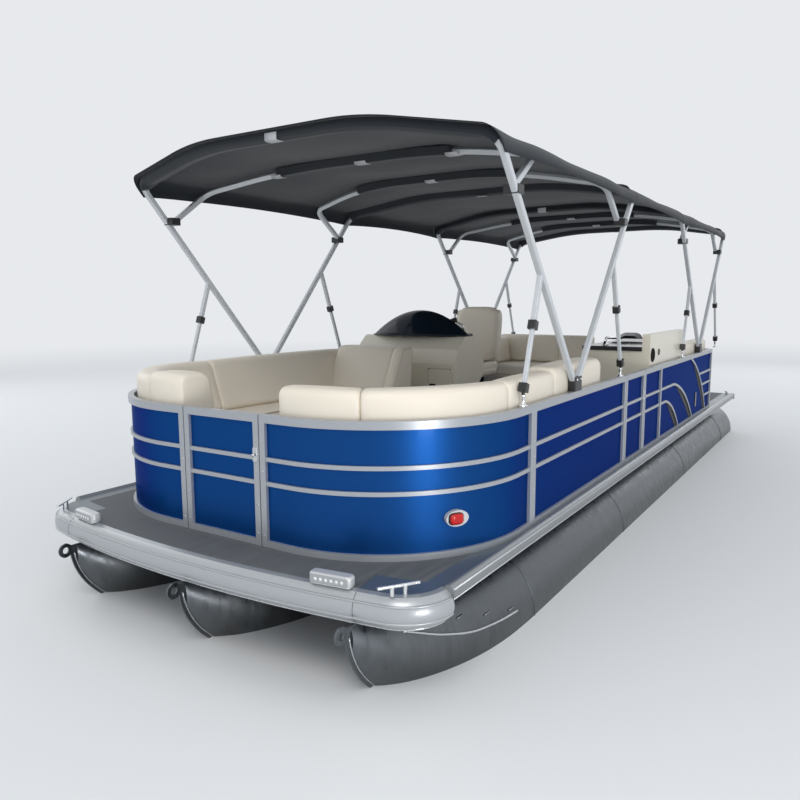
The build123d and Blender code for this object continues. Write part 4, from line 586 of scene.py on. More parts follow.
# Bow lounges: vinyl over foam on moulded bases. Each back is a row of cushions that meet in seams and
# follow the fence. The last one to port and the first one to starboard are taller.
SEAM_ROUND = 0.022
FENCE_FRONT = 0.297
FENCE_SIDE = 1.23
CORNER_R = 0.80
BACK_FOOT = 0.434
BACK_TOP = 0.765
SEAT_UNDER = 0.3003
SEAT_LEVEL = 0.43
BACK_INSET = 0.056
START_Y = 0.33
SEAT_RADII = [0.02, 0.045, 0.02, 0.01]
cushion_vinyl = finish("cushion_vinyl", (0.83, 0.76, 0.65), 0.46, 0.0, 3.0, (1, 1, 1), 0.025, 0.05, 0.02)
fine_relief(cushion_vinyl, "TexVoronoi", {"Scale": 650}, "Distance", 0.12, 0.0006)
piping_vinyl = finish("piping_vinyl", (0.66, 0.58, 0.46), 0.5, 0.0, 40.0, (1, 1, 1), 0.03, 0.05, 0.0)
base_moulding = finish("base_moulding", (0.66, 0.60, 0.50), 0.5, 0.0, 60.0, (1, 1, 1), 0.05, 0.06, 0.15)
put_on(base_moulding, "bow_lounge_bases", "stern_lounge_bases")


def rounded(corners, radii, step=6):
    """Points along a path through the corners, with each inner corner rounded to its radius."""
    corners = [Vector(c) for c in corners]
    points = [corners[0]]
    for before, corner, after, radius in zip(corners, corners[1:], corners[2:], radii):
        come, leave = (before - corner).normalized(), (after - corner).normalized()
        half_angle = come.angle(leave) / 2
        reach = radius / math.tan(half_angle)
        centre = corner + (come + leave).normalized() * (radius / math.sin(half_angle))
        first, last = corner + come * reach - centre, corner + leave * reach - centre
        points += [centre + first.slerp(last, k / step).normalized() * radius for k in range(step + 1)]
    return [*points, corners[-1]]


def fence_line(inset, start_y, end, side):
    """Path along the fence's inner side: across from start_y, round the corner, and aft to the end."""
    front, wall = FENCE_FRONT + inset, side * (FENCE_SIDE - inset)
    line = [(aft(front), side * start_y, 0), (aft(front), wall, 0), (aft(end), wall, 0)]
    return rounded(line, [CORNER_R - inset], 24)


def path_length(path):
    """Length of a path of points."""
    return sum((b - a).length for a, b in zip(path, path[1:]))


def dense(path, spacing):
    """The same path, with more points where they are further apart than the spacing."""
    found = []
    for a, b in zip(path, path[1:]):
        parts = max(1, int((b - a).length / spacing))
        found += [a.lerp(b, k / parts) for k in range(parts)]
    return [*found, path[-1]]


def loop_of(corners, radii, base=0.0):
    """Closed section through the corners, anticlockwise, each rounded to its radius, above a base."""
    corners = [Vector((x, base + z, 0)) for x, z in corners]
    first = corners[0].lerp(corners[-1], 0.5)
    loop = rounded([first, *corners, first], radii, 5)
    return [(p.x, p.y) for p in dense(loop, 0.035)[:-1]]


def shrink(loop, amount):
    """The closed section moved inward by an amount."""
    moved = []
    for index, point in enumerate(loop):
        before, after = loop[index - 1], loop[(index + 1) % len(loop)]
        along = Vector((after[0] - before[0], after[1] - before[1]))
        along = along.normalized() if along.length > 1e-9 else Vector((1, 0))
        moved.append((point[0] - along.y * amount, point[1] + along.x * amount))
    return moved


def stations(path, first, last, spacing):
    """Points along a path from one distance to another, each with its direction."""
    marks = [0.0]
    for a, b in zip(path, path[1:]):
        marks.append(marks[-1] + (b - a).length)
    ends = [SEAM_ROUND * share for share in (0.0, 0.12, 0.4, 0.8)]
    inner = max(1, int((last - first) / spacing))
    wanted = [first + e for e in ends]
    wanted += [first + (last - first) * k / inner for k in range(1, inner)]
    wanted += [last - e for e in reversed(ends)]
    found = []
    for distance in wanted:
        index = max(k for k in range(len(marks) - 1) if marks[k] <= distance + 1e-9)
        piece = path[index + 1] - path[index]
        share = (distance - marks[index]) / max(marks[index + 1] - marks[index], 1e-9)
        heading = piece
        if share < 0.5 and index > 0:
            heading = piece.normalized().lerp((path[index] - path[index - 1]).normalized(), 0.5 - share)
        elif share > 0.5 and index < len(path) - 2:
            heading = piece.normalized().lerp((path[index + 2] - path[index + 1]).normalized(), share - 0.5)
        found.append((distance, path[index] + piece * share, heading.normalized()))
    return found


def cushion(path, first, last, section, crown=0.006, spacing=0.05, side=1):
    """One cushion swept along part of a path, with soft ends that close to a seam.
    The section is given as (inward, upward) pairs, inward being to the path's left times side."""
    points = []
    rows = stations(path, first, last, spacing)
    for distance, place, along in rows:
        edge = min(distance - first, last - distance)
        pinch = 0.0
        if edge < SEAM_ROUND:
            pinch = SEAM_ROUND - math.sqrt(max(0.0, SEAM_ROUND**2 - (SEAM_ROUND - edge) ** 2))
        share = min(1.0, max(0.0, (distance - first) / (last - first)))
        swell = crown * max(0.0, math.sin(math.pi * share)) ** 0.6
        inward = Vector((-along.y, along.x, 0)) * side
        for across, above in shrink(section, pinch * 0.9 - swell):
            points.append(place + inward * across + UP * above)
    count = len(section)
    faces = quads(len(rows), count)
    for start in (0, len(points) - count):
        faces += [(start + k, start + (k + 1) % count, len(points)) for k in range(count)]
        points.append(sum(points[start : start + count], Vector()) / count)
    return mesh_piece("cushion", points, faces, cushion_vinyl)


def pad(name, pieces, node, body="hull"):
    """Padded piece that takes a CAD node's place."""
    whole = join(name, pieces)
    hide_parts(node)
    fix(whole, body)


back_corners = [(0.235, BACK_FOOT), (0.13, BACK_TOP), (0.0, BACK_TOP - 0.005), (0.0, BACK_FOOT)]
back_section = loop_of(back_corners, [0.03, 0.06, 0.045, 0.02], DECK)
arm_corners = [(0.26, BACK_FOOT), (0.19, BACK_TOP + 0.02), (0.0, BACK_TOP + 0.015), (0.0, BACK_FOOT)]
arm_section = loop_of(arm_corners, [0.03, 0.07, 0.05, 0.02], DECK)
seat_corners = [(0.60, SEAT_UNDER), (0.60, SEAT_LEVEL), (0.06, SEAT_LEVEL), (0.06, SEAT_UNDER)]
seat_section = loop_of(seat_corners, SEAT_RADII, DECK)
LOUNGES = ((1, "port", 2.50, (0.43, 1.25, 1.85), 3), (-1, "starboard", 2.62, (0.30, 1.38), 0))
for side, hand, end, breaks, taller in LOUNGES:
    path = fence_line(BACK_INSET, START_Y, end, side)
    cuts = [0.0, *breaks, path_length(path)]
    backs = []
    for index, (first, last) in enumerate(zip(cuts, cuts[1:])):
        backs.append(cushion(path, first, last, arm_section if index == taller else back_section, side=side))
    pad("bow_back_cushions_" + hand, backs, "bow_lounge_backs")
    path = fence_line(0.0, START_Y, end, side)
    cuts = [path_length(path) * share for share in (0.0, 0.34, 0.67, 1.0)]
    seats = [cushion(path, a, b, seat_section, 0.004, side=side) for a, b in zip(cuts, cuts[1:])]
    pad("bow_seat_cushions_" + hand, seats, "bow_lounge_seats")

# Chaise back: a raked cushion that ends the starboard bow lounge, with a proud bolster along
# its inboard edge. A piped seam runs round the bolster's end face.
CHAISE_REAR = 2.71
CHAISE_WIDTH = 0.64
WING = 0.085
CHAISE_RADII = [0.03, 0.075, 0.05, 0.02]
chaise_corners = [(0.345, BACK_FOOT), (0.150, 0.795), (0.002, 0.795), (0.046, BACK_FOOT)]
chaise_section = loop_of(chaise_corners, CHAISE_RADII, DECK)
wing_corners = [(0.362, BACK_FOOT), (0.168, 0.803), (0.002, 0.803), (0.046, BACK_FOOT)]
wing_section = loop_of(wing_corners, CHAISE_RADII, DECK)
chaise_path = [Vector((aft(CHAISE_REAR), y, 0)) for y in (-0.382, -0.382 - CHAISE_WIDTH)]
piped = [Vector((aft(CHAISE_REAR) + x, -0.3835, z)) for x, z in shrink(wing_section, 0.020)]
chaise = [
    cushion(chaise_path, WING, CHAISE_WIDTH, chaise_section, 0.007, 0.03),
    cushion(chaise_path, 0.0, WING, wing_section, 0.003, 0.02),
    sweep("piping", [*piped, piped[0]], disc(0.0042, 8), piping_vinyl, PORT, capped=False),
]
pad("chaise_cushion", chaise, "chaise_back")

# Welts: a round cord sewn into the seam along each bow seat's front edge. It runs parallel to
# the fence, level with the top of the cushions.
WELT = 0.005
welts = []
for side, hand, end, breaks, taller in LOUNGES:
    line = fence_line(0.585, START_Y + 0.03, end - 0.03, side)
    line = [p + UP * deck(SEAT_LEVEL + 0.001) for p in line]
    welts.append(sweep("welt", line, disc(WELT, 8), piping_vinyl))
fix(join("bow_seat_welts", welts))

# Helm console: a gelcoat moulding with a dash for gauges and switches, a throttle on its inboard side
# and a door to the locker. Its gauges are round, in chrome bezels.
CONSOLE_FRONT = 2.98
CONSOLE_REAR = 3.47
GAUGES = ((-0.60, 0.79, 0.045), (-0.72, 0.79, 0.045), (-0.50, 0.74, 0.03), (-0.82, 0.74, 0.03))
LEVER_Y = -0.252
polish = {"Coat Weight": 0.25}
gelcoat = finish("gelcoat", (0.79, 0.74, 0.62), 0.30, 0.0, 2.0, (1, 1, 1), 0.01, 0.004, 0.0, polish)
put_on(gelcoat, "helm_console", "console_door", "galley_cabinet")
BLACK = (0.018, 0.018, 0.019)
soft = {"Specular IOR Level": 0.3}
black_plastic = finish("black_plastic", BLACK, 0.42, 0.0, 220.0, (1, 1, 1), 0.2, 0.08, 0.15, soft)
chrome = finish("chrome", (0.80, 0.81, 0.83), 0.12, 1.0, 30.0, (1, 1, 1), 0.04, 0.04, 0.01)
gauge_white = finish("gauge_white", (0.80, 0.81, 0.80), 0.4, 0.0, 90.0, (1, 1, 1), 0.03, 0.05, 0.01)
spot = at(CONSOLE_REAR + 0.004, -0.68, 0.705)
dash = [slab("dash_panel", (0.30, 0.62, 0.010), spot, black_plastic, 0.004, UP, -AHEAD, 0.03)]
for y, z, r in GAUGES:
    bezel = [(r, 0.0), (r, 0.010), (r * 0.96, 0.014), (r * 0.88, 0.014), (r * 0.86, 0.008), (0.0, 0.008)]
    dial = [(r * 0.85, 0.0), (r * 0.85, 0.010), (0.0, 0.0105)]
    for profile, made in ((bezel, chrome), (dial, gauge_white)):
        dash.append(turned("gauge", profile, at(CONSOLE_REAR + 0.008, y, z), -AHEAD, made, 36))
for k in range(6):
    spot = at(CONSOLE_REAR + 0.011, -0.46 - 0.055 * k, 0.585)
    dash.append(slab("switch", (0.034, 0.020, 0.012), spot, black_plastic, 0.003, UP, -AHEAD, 0.004))
fix(join("dash_instruments", dash))

lever = [at(3.30, LEVER_Y, 0.873), at(3.27, LEVER_Y, 0.948), at(3.27, -0.34, 0.988)]
grip = [(0.0, -0.03), (0.018, -0.028), (0.022, 0), (0.018, 0.03), (0.0, 0.032)]
throttle = [
    slab("throttle_base", (0.16, 0.10, 0.03), at(3.30, LEVER_Y, 0.863), black_plastic, 0.008, corner=0.03),
    sweep("throttle_arm", rounded(lever, [0.03], 5), disc(0.009, 12), chrome),
    turned("throttle_knob", grip, lever[-1], (0, 1, 0.2), black_plastic, 20),
]
fix(join("throttle", throttle))

spot = at(CONSOLE_FRONT - 0.005, -0.372, 0.44)
button = [(0.016, 0.0), (0.016, 0.012), (0.012, 0.016), (0.0, 0.0165)]
latch = [
    slab("latch_plate", (0.075, 0.060, 0.010), spot, black_plastic, 0.003, UP, AHEAD, 0.012),
    turned("latch_button", button, spot, AHEAD, chrome, 24),
]
fix(join("door_latch", latch), "console_door")

# Windscreen: a low dome of smoked acrylic ahead of the dash, worked out by a formula as a thin
# shell, with a soft black trim along its foot
SCREEN_SWELL = 2.0
SCREEN_RINGS, SCREEN_RAYS = 16, 56
smoke_gloss = {"Specular IOR Level": 0.16}
smoke = finish("smoke", (0.008, 0.014, 0.024), 0.12, 0.0, 12.0, (1, 1, 1), 0.1, 0.02, 0.0, smoke_gloss)
screen_low, screen_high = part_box("windscreen")
SCREEN_BACK = screen_low.x + 0.004
SCREEN_REACH = screen_high.x - SCREEN_BACK - 0.004
SCREEN_Y = (screen_low.y + screen_high.y) / 2
SCREEN_HALF = (screen_high.y - screen_low.y) / 2 - 0.004
points = []
for ring in range(SCREEN_RINGS + 1):
    share = ring / SCREEN_RINGS
    z = screen_low.z + (screen_high.z - screen_low.z) * (1 - share**SCREEN_SWELL)
    for k in range(SCREEN_RAYS + 1):
        a = math.pi * (k / SCREEN_RAYS - 0.5)
        x, y = SCREEN_REACH * share * math.cos(a), SCREEN_HALF * share * math.sin(a)
        points.append(Vector((SCREEN_BACK + x, SCREEN_Y + y, z)))
screen = mesh_piece("windscreen_shield", points, quads(SCREEN_RINGS + 1, SCREEN_RAYS + 1, ring=False), smoke)
wall = screen.modifiers.new("thickness", "SOLIDIFY")
wall.thickness = 0.005
wall.offset = -1
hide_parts("windscreen")
fix(screen)
foot_line = [p + UP * 0.002 for p in points[-SCREEN_RAYS - 1 :]]
fix(sweep("windscreen_foot_trim", foot_line, disc(0.006, 8, 0.8), black_plastic))

# Steering wheel: a soft black rim on three spokes, leaned back on the dash, with a chrome cap
# seated on the hub, which turns with the wheel
put_on(black_plastic, "steering_wheel")
WHEEL_TILT = math.radians(36)
wheel_axis = Vector((-math.cos(WHEEL_TILT), 0, math.sin(WHEEL_TILT)))
wheel_centre = (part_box("steering_wheel")[0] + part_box("steering_wheel")[1]) / 2
cap_profile = [(0.034, -0.004), (0.034, 0.006), (0.026, 0.012), (0.0, 0.015)]
hub = on_skin("steering_wheel", wheel_centre + wheel_axis * 0.3)
fix(turned("wheel_cap", cap_profile, hub, wheel_axis, chrome), "wheel")

# Helm chair: moulded foam in vinyl on a turning plate, with side bolsters, a high back and its cover
# drawn down in a seam between the middle of the seat and back and their bolsters
CHAIR_AFT = 4.04
CHAIR_Y = -0.62
BACK_LEAN = math.atan2(0.09, 0.53)
PILLOW_STEPS = 28
put_on(chrome, "helm_pedestal")


def pillow(half_x, half_y, low, high, place, power, crown, seams=()):
    """Closed cushion with rounded sides, a crowned top and seams drawn in across it at given shares of Y.
    It lies flat in its own X and Y; place is a matrix that puts it where it belongs."""
    rows = [math.sin(math.pi / 2 * (2 * k / PILLOW_STEPS - 1)) for k in range(PILLOW_STEPS + 1)]
    middle, half = (low + high) / 2, (high - low) / 2
    points = []
    for top in (True, False):
        for u, v in [(u, v) for u in rows for v in rows]:
            reach = (abs(u) ** power + abs(v) ** power) ** (1 / power)
            rim = max(abs(u), abs(v))
            x, y = (u * rim / reach, v * rim / reach) if reach > 1e-9 else (u, v)
            edge = math.sqrt(max(0.0, 1 - max(0.0, (rim - 0.80) / 0.20) ** 2))
            z = middle - half * edge
            if top:
                z = middle + half * edge + crown * (1 - x * x) * (1 - y * y)
                for seam in seams:
                    z -= 0.012 * math.exp(-(((y - seam) * half_y) / 0.010) ** 2) * edge
            points.append(place @ Vector((x * half_x, y * half_y, z)))
    n = PILLOW_STEPS + 1
    return mesh_piece("pillow", points, [*quads(n, n, False), *quads(n, n, False, n * n)], cushion_vinyl)


seat_place = Matrix.Translation((aft(CHAIR_AFT), CHAIR_Y, DECK))
pads = [pillow(0.24, 0.25, 0.4403, 0.552, seat_place, 5.0, 0.014, (-0.62, 0.62))]
for side in (1, -1):
    shift = Matrix.Translation((0, side * 0.203, 0))
    pads.append(pillow(0.225, 0.045, 0.50, 0.5695, seat_place @ shift, 4.0, 0.0))
pad("chair_cushion", pads, "helm_chair_seat", "helm_chair")
spot = at(CHAIR_AFT, CHAIR_Y, 0.4305)
plate = slab("chair_plate", (0.30, 0.26, 0.019), spot, black_plastic, 0.004, corner=0.03)
fix(plate, "helm_chair")

back_place = Matrix.Translation(at(CHAIR_AFT + 0.228, CHAIR_Y, 0.836))
back_place @= Matrix.Rotation(-math.pi / 2 - BACK_LEAN, 4, "Y")
pads = [pillow(0.262, 0.238, -0.040, 0.040, back_place, 4.5, 0.012, (-0.6, 0.6))]
for side in (1, -1):
    shift = Matrix.Translation((0, side * 0.196, 0))
    pads.append(pillow(0.235, 0.042, -0.030, 0.058, back_place @ shift, 4.0, 0.0))
pads.append(pillow(0.072, 0.16, -0.030, 0.056, back_place @ Matrix.Translation((0.185, 0, 0)), 3.5, 0.0))
pad("chair_back_cushion", pads, "helm_chair_back", "helm_chair")

# Galley: a moulded cabinet with doors towards the aisle, a dark counter with a lidded sink and
# a tap, and a raised outboard panel that carries a round louvred outlet and a small ring
counter_black = finish("counter_black", (0.020, 0.020, 0.022), 0.16, 0.0, 500.0, (1, 1, 1), 0.45, 0.06, 0.02)
put_on(counter_black, "galley_counter")
dull_black = finish("dull_black", (0.010, 0.010, 0.011), 0.7, 0.0, 120.0, (1, 1, 1), 0.1, 0.05, 0.0, MATT)
counter_low, counter_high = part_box("galley_counter")
cabinet_low, cabinet_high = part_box("galley_cabinet")
SINK_Y = (counter_low.y + counter_high.y) / 2
sink = (aft(4.18), SINK_Y, counter_high.z)
sink_rim = [(0.150, -0.002), (0.158, 0.001), (0.156, 0.003), (0.146, 0.004), (0.140, 0.001), (0.0, 0.001)]
sink_lid = [(0.138, 0.0005), (0.138, 0.005), (0.134, 0.007), (0.0, 0.0075)]
tap_base = [(0.028, -0.002), (0.028, 0.008), (0.018, 0.014), (0.014, 0.030), (0.0, 0.031)]
tap_foot = Vector((aft(3.86), SINK_Y - 0.10, counter_high.z))
tap_line = rounded([tap_foot, tap_foot + UP * 0.058, tap_foot + Vector((-0.17, 0.06, 0.050))], [0.022], 8)
outlet = [(0.056, -0.002), (0.056, 0.004), (0.050, 0.008), (0.042, 0.006), (0.038, 0.001), (0.0, 0.001)]
ring = [(0.026, -0.002), (0.026, 0.003), (0.022, 0.005), (0.018, 0.003), (0.017, -0.001), (0.0, -0.001)]
galley = [
    turned("sink_rim", sink_rim, sink, UP, bright_metal, 48),
    turned("sink_lid", sink_lid, sink, UP, dull_black, 48),
    sweep("tap", tap_line, disc(0.011, 16), chrome, Vector((0.3, 1, 0.01)).normalized()),
    turned("tap_base", tap_base, tap_foot, UP, chrome, 28),
    turned("outlet", outlet, at(3.80, cabinet_high.y, 0.717), PORT, dull_black, 36),
    turned("ring", ring, at(4.00, cabinet_high.y, 0.73), PORT, dull_black, 28),
]
for distance in (4.0, 4.62):
    spot = at(distance, cabinet_low.y - 0.001, 0.36)
    galley.append(slab("locker_door", (0.50, 0.56, 0.012), spot, gelcoat, 0.005, AHEAD, -PORT, 0.03))
    spot = at(distance - 0.19, cabinet_low.y - 0.009, 0.52)
    galley.append(slab("door_pull", (0.03, 0.10, 0.012), spot, black_plastic, 0.004, AHEAD, -PORT, 0.012))
for k in range(4):
    spot = at(3.80, cabinet_high.y + 0.003, 0.690 + 0.018 * k)
    galley.append(slab("louvre", (0.066, 0.006, 0.006), spot, dull_black, 0.002, AHEAD, PORT))
fix(join("galley_fittings", galley))

# Stern lounges: vinyl over foam on moulded bases, made like the bow ones, with one bench across
# the stern and one along the port side
STERN_REAR = 6.115
STERN_SIDE = 1.174
STERN_TOP = 0.746
STERN_SEAT = 0.427
stern_corners = [(0.168, BACK_FOOT), (0.12, STERN_TOP), (0.002, STERN_TOP), (0.002, BACK_FOOT)]
stern_back = loop_of(stern_corners, [0.03, 0.055, 0.04, 0.02], DECK)
stern_corners = [(0.556, SEAT_UNDER), (0.556, STERN_SEAT), (0.02, STERN_SEAT), (0.02, SEAT_UNDER)]
stern_seat = loop_of(stern_corners, SEAT_RADII, DECK)
across = [Vector((aft(STERN_REAR), y, 0)) for y in (-0.032, -STERN_SIDE)]
wing = [Vector((aft(d), -STERN_SIDE, 0)) for d in (STERN_REAR - 0.17, 5.502)]
port_line = [Vector((aft(d), STERN_SIDE, 0)) for d in (4.962, 6.078)]
BENCHES = (
    ("stern_back_cushions", "stern_lounge_backs", stern_back, ((across, 3), (wing, 1), (port_line, 2))),
    ("stern_seat_cushions", "stern_lounge_seats", stern_seat, ((across, 2), (port_line, 2))),
)
for name, node, section, runs in BENCHES:
    pads = []
    for line, parts in runs:
        part = path_length(line) / parts
        pads += [cushion(line, part * k, part * (k + 1), section, 0.002) for k in range(parts)]
    pad(name, pads, node)

# Folding tops: square white-coated aluminium tube, bent into bows, on black nylon fittings. Each has
# bright blocks on the fence rails, a pin through each fitting, and eyes for its struts.
TOP_MOUNTS = (1.92, 5.54)
TOP_HALF = 1.204
INNER_HALF = 1.166
MOUNT_Z = 0.676
MOUNT_HALF = 0.0192
BOW_LEAN = 0.990 / (1.781 - 0.634 - 0.026)
KNEE_Z = 1.876
CROWN_Z = 1.990
SHOULDER_Y = 0.56
INNER_ROOT_X = 0.86
INNER_ROOT_Z = 1.663
INNER_LEAN = 0.4 / 0.29
BEND_R = 0.11
CROWN_R = 2.2
PIN = [(0.007, 0.0), (0.007, 0.004), (0.004, 0.006), (0.0, 0.0062)]
EYE_FOOT = [(0.024, 0.0), (0.024, 0.006), (0.012, 0.012), (0.0098, 0.018)]
EYE_TOP = [(0.0098, 0.046), (0.014, 0.050), (0.014, 0.058), (0.0, 0.060)]
top_white = finish("top_white", (0.60, 0.63, 0.66), 0.34, 0.15, 40.0, (1, 1, 0.2), 0.015, 0.04, 0.0)
put_on(top_white, "top_frame_front", "top_frame_rear")
fitting_black = finish("fitting_black", (0.02, 0.02, 0.021), 0.38, 0.0, 150.0, (1, 1, 1), 0.2, 0.08, 0.08)
put_on(fitting_black, "top_fittings")
hardware = []
for mount, side in [(mount, side) for mount in TOP_MOUNTS for side in (1, -1)]:
    spot = at(mount, side * TOP_HALF, 0.649)
    hardware.append(slab("block", (0.10, 0.044, 0.030), spot, chrome, 0.004, corner=0.008))
    for way in (1, -1):
        spot = at(mount - way * 0.03, side * (TOP_HALF + 0.023), 0.70)
        hardware.append(turned("pin", PIN, spot, PORT * side, chrome, 16))
    for foot in (-0.750, 0.910):
        spot = at(mount + foot, side * TOP_HALF, 0.634)
        hardware.append(turned("eye", EYE_FOOT + EYE_TOP, spot, UP, chrome, 20))
fix(join("top_pins", hardware))

# Canopies: woven black acrylic cloth, sewn with a pocket round each outer bow and stretched over
# the inner ones, so that it dips a little in each bay. A bridge panel joins the two tops.
CLOTH_OUT = 0.0185
HEM_Z = 1.797
CLOTH_BEND = 0.08
COLUMNS = 72
sheen = {"Sheen Weight": 0.14, "Sheen Roughness": 0.5}
canvas = finish("canvas", (0.0095, 0.0135, 0.0200), 0.85, 0.0, 2.2, (1, 1, 1), 0.30, 0.05, 0.4, sheen)
fine_relief(canvas, "TexWave", {"Scale": 260, "Distortion": 0.6}, "Fac", 0.25, 0.0006, bands_direction="X")


def crown_line():
    """Cross section of the cloth from the port hem over the top to the starboard hem, as (y, z)."""
    half, knee, crown = TOP_HALF + CLOTH_OUT, KNEE_Z + CLOTH_OUT + 0.007, CROWN_Z + CLOTH_OUT + 0.007
    corners = [(0, half, HEM_Z), (0, half, knee), (0, SHOULDER_Y, crown)]
    corners += [(0, -y, z) for _, y, z in reversed(corners)]
    path = rounded(corners, [CLOTH_BEND, CROWN_R, CROWN_R, CLOTH_BEND], 10)
    return [(p.y, p.z) for p in dense(path, 0.05)]


def outer_bow_x(mount, way, gap, height):
    """X of a main bow's cloth edge at this height above the deck."""
    return aft(mount) + gap + way * (MOUNT_HALF + 0.034 + BOW_LEAN * (height - MOUNT_Z))


def inner_bow_x(mount, way, height):
    """X of an inner bow at this height above the deck."""
    return aft(mount) + way * (INNER_ROOT_X - INNER_LEAN * (height - INNER_ROOT_Z))


front_mount, rear_mount = TOP_MOUNTS
CANOPIES = (
    ("front", "front", (front_mount, 1, 0), (front_mount, -1, 0), (1, -1), 0.012),
    ("bridge", "front", (front_mount, -1, -0.003), (rear_mount, 1, 0.003), (), 0.010),
    ("rear", "rear", (rear_mount, 1, 0), (rear_mount, -1, 0), (1, -1), 0.012),
)
line = crown_line()
around = sum(math.dist(a, b) for a, b in zip(line, line[1:]))
for part, carrier, front_edge, rear_edge, inner_ways, sag in CANOPIES:
    points = []
    for y, z in line:
        start, end = outer_bow_x(*front_edge, z), outer_bow_x(*rear_edge, z)
        inner = [inner_bow_x(front_edge[0], way, z) for way in inner_ways]
        marks = sorted([start, *inner, end], reverse=True)
        hem_share = max(0.0, 1 - (z - HEM_Z) / 0.09) if abs(y) > 1.1 else 0.0
        top_share = 1.0 if abs(y) < SHOULDER_Y else max(0.0, (z - KNEE_Z) / (CROWN_Z - KNEE_Z))
        for k in range(COLUMNS + 1):
            x = start + (end - start) * k / COLUMNS
            bay = next((j for j in range(len(marks) - 1) if marks[j] >= x >= marks[j + 1] - 1e-9), 0)
            share = (marks[bay] - x) / max(marks[bay] - marks[bay + 1], 1e-6)
            dip = math.sin(math.pi * min(1.0, max(0.0, share))) ** 2
            puff = 0.0018 * math.sin(9 * x + 5 * y) * math.sin(7 * y) * dip
            rise = puff - sag * dip * (0.35 + 0.65 * top_share)
            drawn = sag * dip * 0.5 * (1 - top_share) if abs(y) > 1.15 else 0.0
            lift = 0.026 * max(0.0, math.sin(math.pi * k / COLUMNS)) ** 0.7 * hem_share
            points.append((x, y - math.copysign(drawn, y), deck(z + rise * (1 - hem_share) + lift)))
    piece = mesh_piece("canopy_cloth_" + part, points, quads(len(line), COLUMNS + 1, ring=False), canvas)
    length = max(outer_bow_x(*front_edge, z) - outer_bow_x(*rear_edge, z) for y, z in line)
    area = sum(face.area for face in piece.data.polygons)
    solid = piece.modifiers.new("thickness", "SOLIDIFY")
    solid.thickness = 0.0016
    solid.offset = -1
    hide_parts("canopy_" + part)
    area = min(area, around * length)
    fix(piece)


def bow_path(root_x, root_z, half, lean):
    """Centre line of a bow in its leaning plane."""
    slant = math.sqrt(1 + lean * lean)
    corners = [(-half, root_z), (-half, KNEE_Z), (-SHOULDER_Y, CROWN_Z)]
    corners += [(-y, z) for y, z in reversed(corners)]
    flat = rounded([(y, (z - root_z) * slant, 0) for y, z in corners], [BEND_R, CROWN_R, CROWN_R, BEND_R], 8)
    return [Vector((root_x + lean * p.y / slant, p.x, deck(root_z + p.y / slant))) for p in flat]


# Pockets: double cloth sewn round each outer bow, and sleeves zipped round the inner bows' middles.
# Patches of pale webbing are sewn to the middle of each, and to the foremost sleeve's ends.
PATCH = 0.040
POCKET_FLAP = [(-0.0215, -0.085), (-0.0120, -0.085)]
POCKET_CORNERS = [*POCKET_FLAP, (0.0225, -0.0225), (0.0225, 0.0235), (-0.0215, 0.0235)]
POCKET = loop_of(POCKET_CORNERS, [0.002, 0.004, 0.010, 0.010, 0.006])
SLEEVE_CORNERS = [(-0.024, -0.0225), (0.024, -0.0225), (0.058, 0.0215), (-0.058, 0.0215)]
SLEEVE = loop_of(SLEEVE_CORNERS, [0.010, 0.010, 0.003, 0.003])
MAIN_STRAP = ((0.0275, 0.012), (0.0275, -0.022), (0.020, -0.0275), (-0.020, -0.0275), (-0.028, -0.0265))
HALF_STRAP = ((0.036, -0.011), (0.0265, -0.0225), (0.018, -0.0245))
INNER_STRAP = [(-x, z) for x, z in HALF_STRAP] + list(reversed(HALF_STRAP))
webbing = finish("webbing", (0.50, 0.51, 0.53), 0.8, 0.0, 300.0, (1, 4, 1), 0.10, 0.05, 0.2)
flat = [(-0.001, -PATCH), (0.001, -PATCH), (0.001, PATCH), (-0.001, PATCH)]
pockets, straps = [], []
for mount, way in [(mount, way) for mount in TOP_MOUNTS for way in (1, -1)]:
    main = bow_path(aft(mount) + way * MOUNT_HALF, MOUNT_Z, TOP_HALF, way * BOW_LEAN)
    upper = dense([p for p in main if p.z >= deck(1.84)], 0.04)
    section = [(inward, way * out) for inward, out in POCKET]
    pockets.append(sweep("pocket", upper, section, canvas, Vector((1, 0, 0.3)).normalized()))
    inner = bow_path(aft(mount) + way * INNER_ROOT_X, INNER_ROOT_Z, INNER_HALF, -way * INNER_LEAN)
    middle = sorted([p for p in inner if abs(p.y) <= 0.70], key=lambda p: p.y)
    pockets.append(sweep("sleeve", curve_through(middle, 4), SLEEVE, canvas))
    main_x = aft(mount) + way * (MOUNT_HALF + BOW_LEAN * (CROWN_Z - MOUNT_Z))
    loop = [Vector((main_x + way * x, 0, deck(CROWN_Z + z))) for x, z in MAIN_STRAP]
    straps.append(sweep("strap", loop, flat, webbing, PORT, capped=False))
    for wanted in (0.0, 0.64, -0.64) if (mount, way) == (front_mount, 1) else (0.0,):
        near = min(inner, key=lambda p: abs(p.y - wanted))
        loop = [(near.x + x, wanted, near.z + z) for x, z in INNER_STRAP]
        straps.append(sweep("strap", loop, flat, webbing, PORT, capped=False))
fix(join("bow_pockets", pockets))
fix(join("bow_straps", straps))

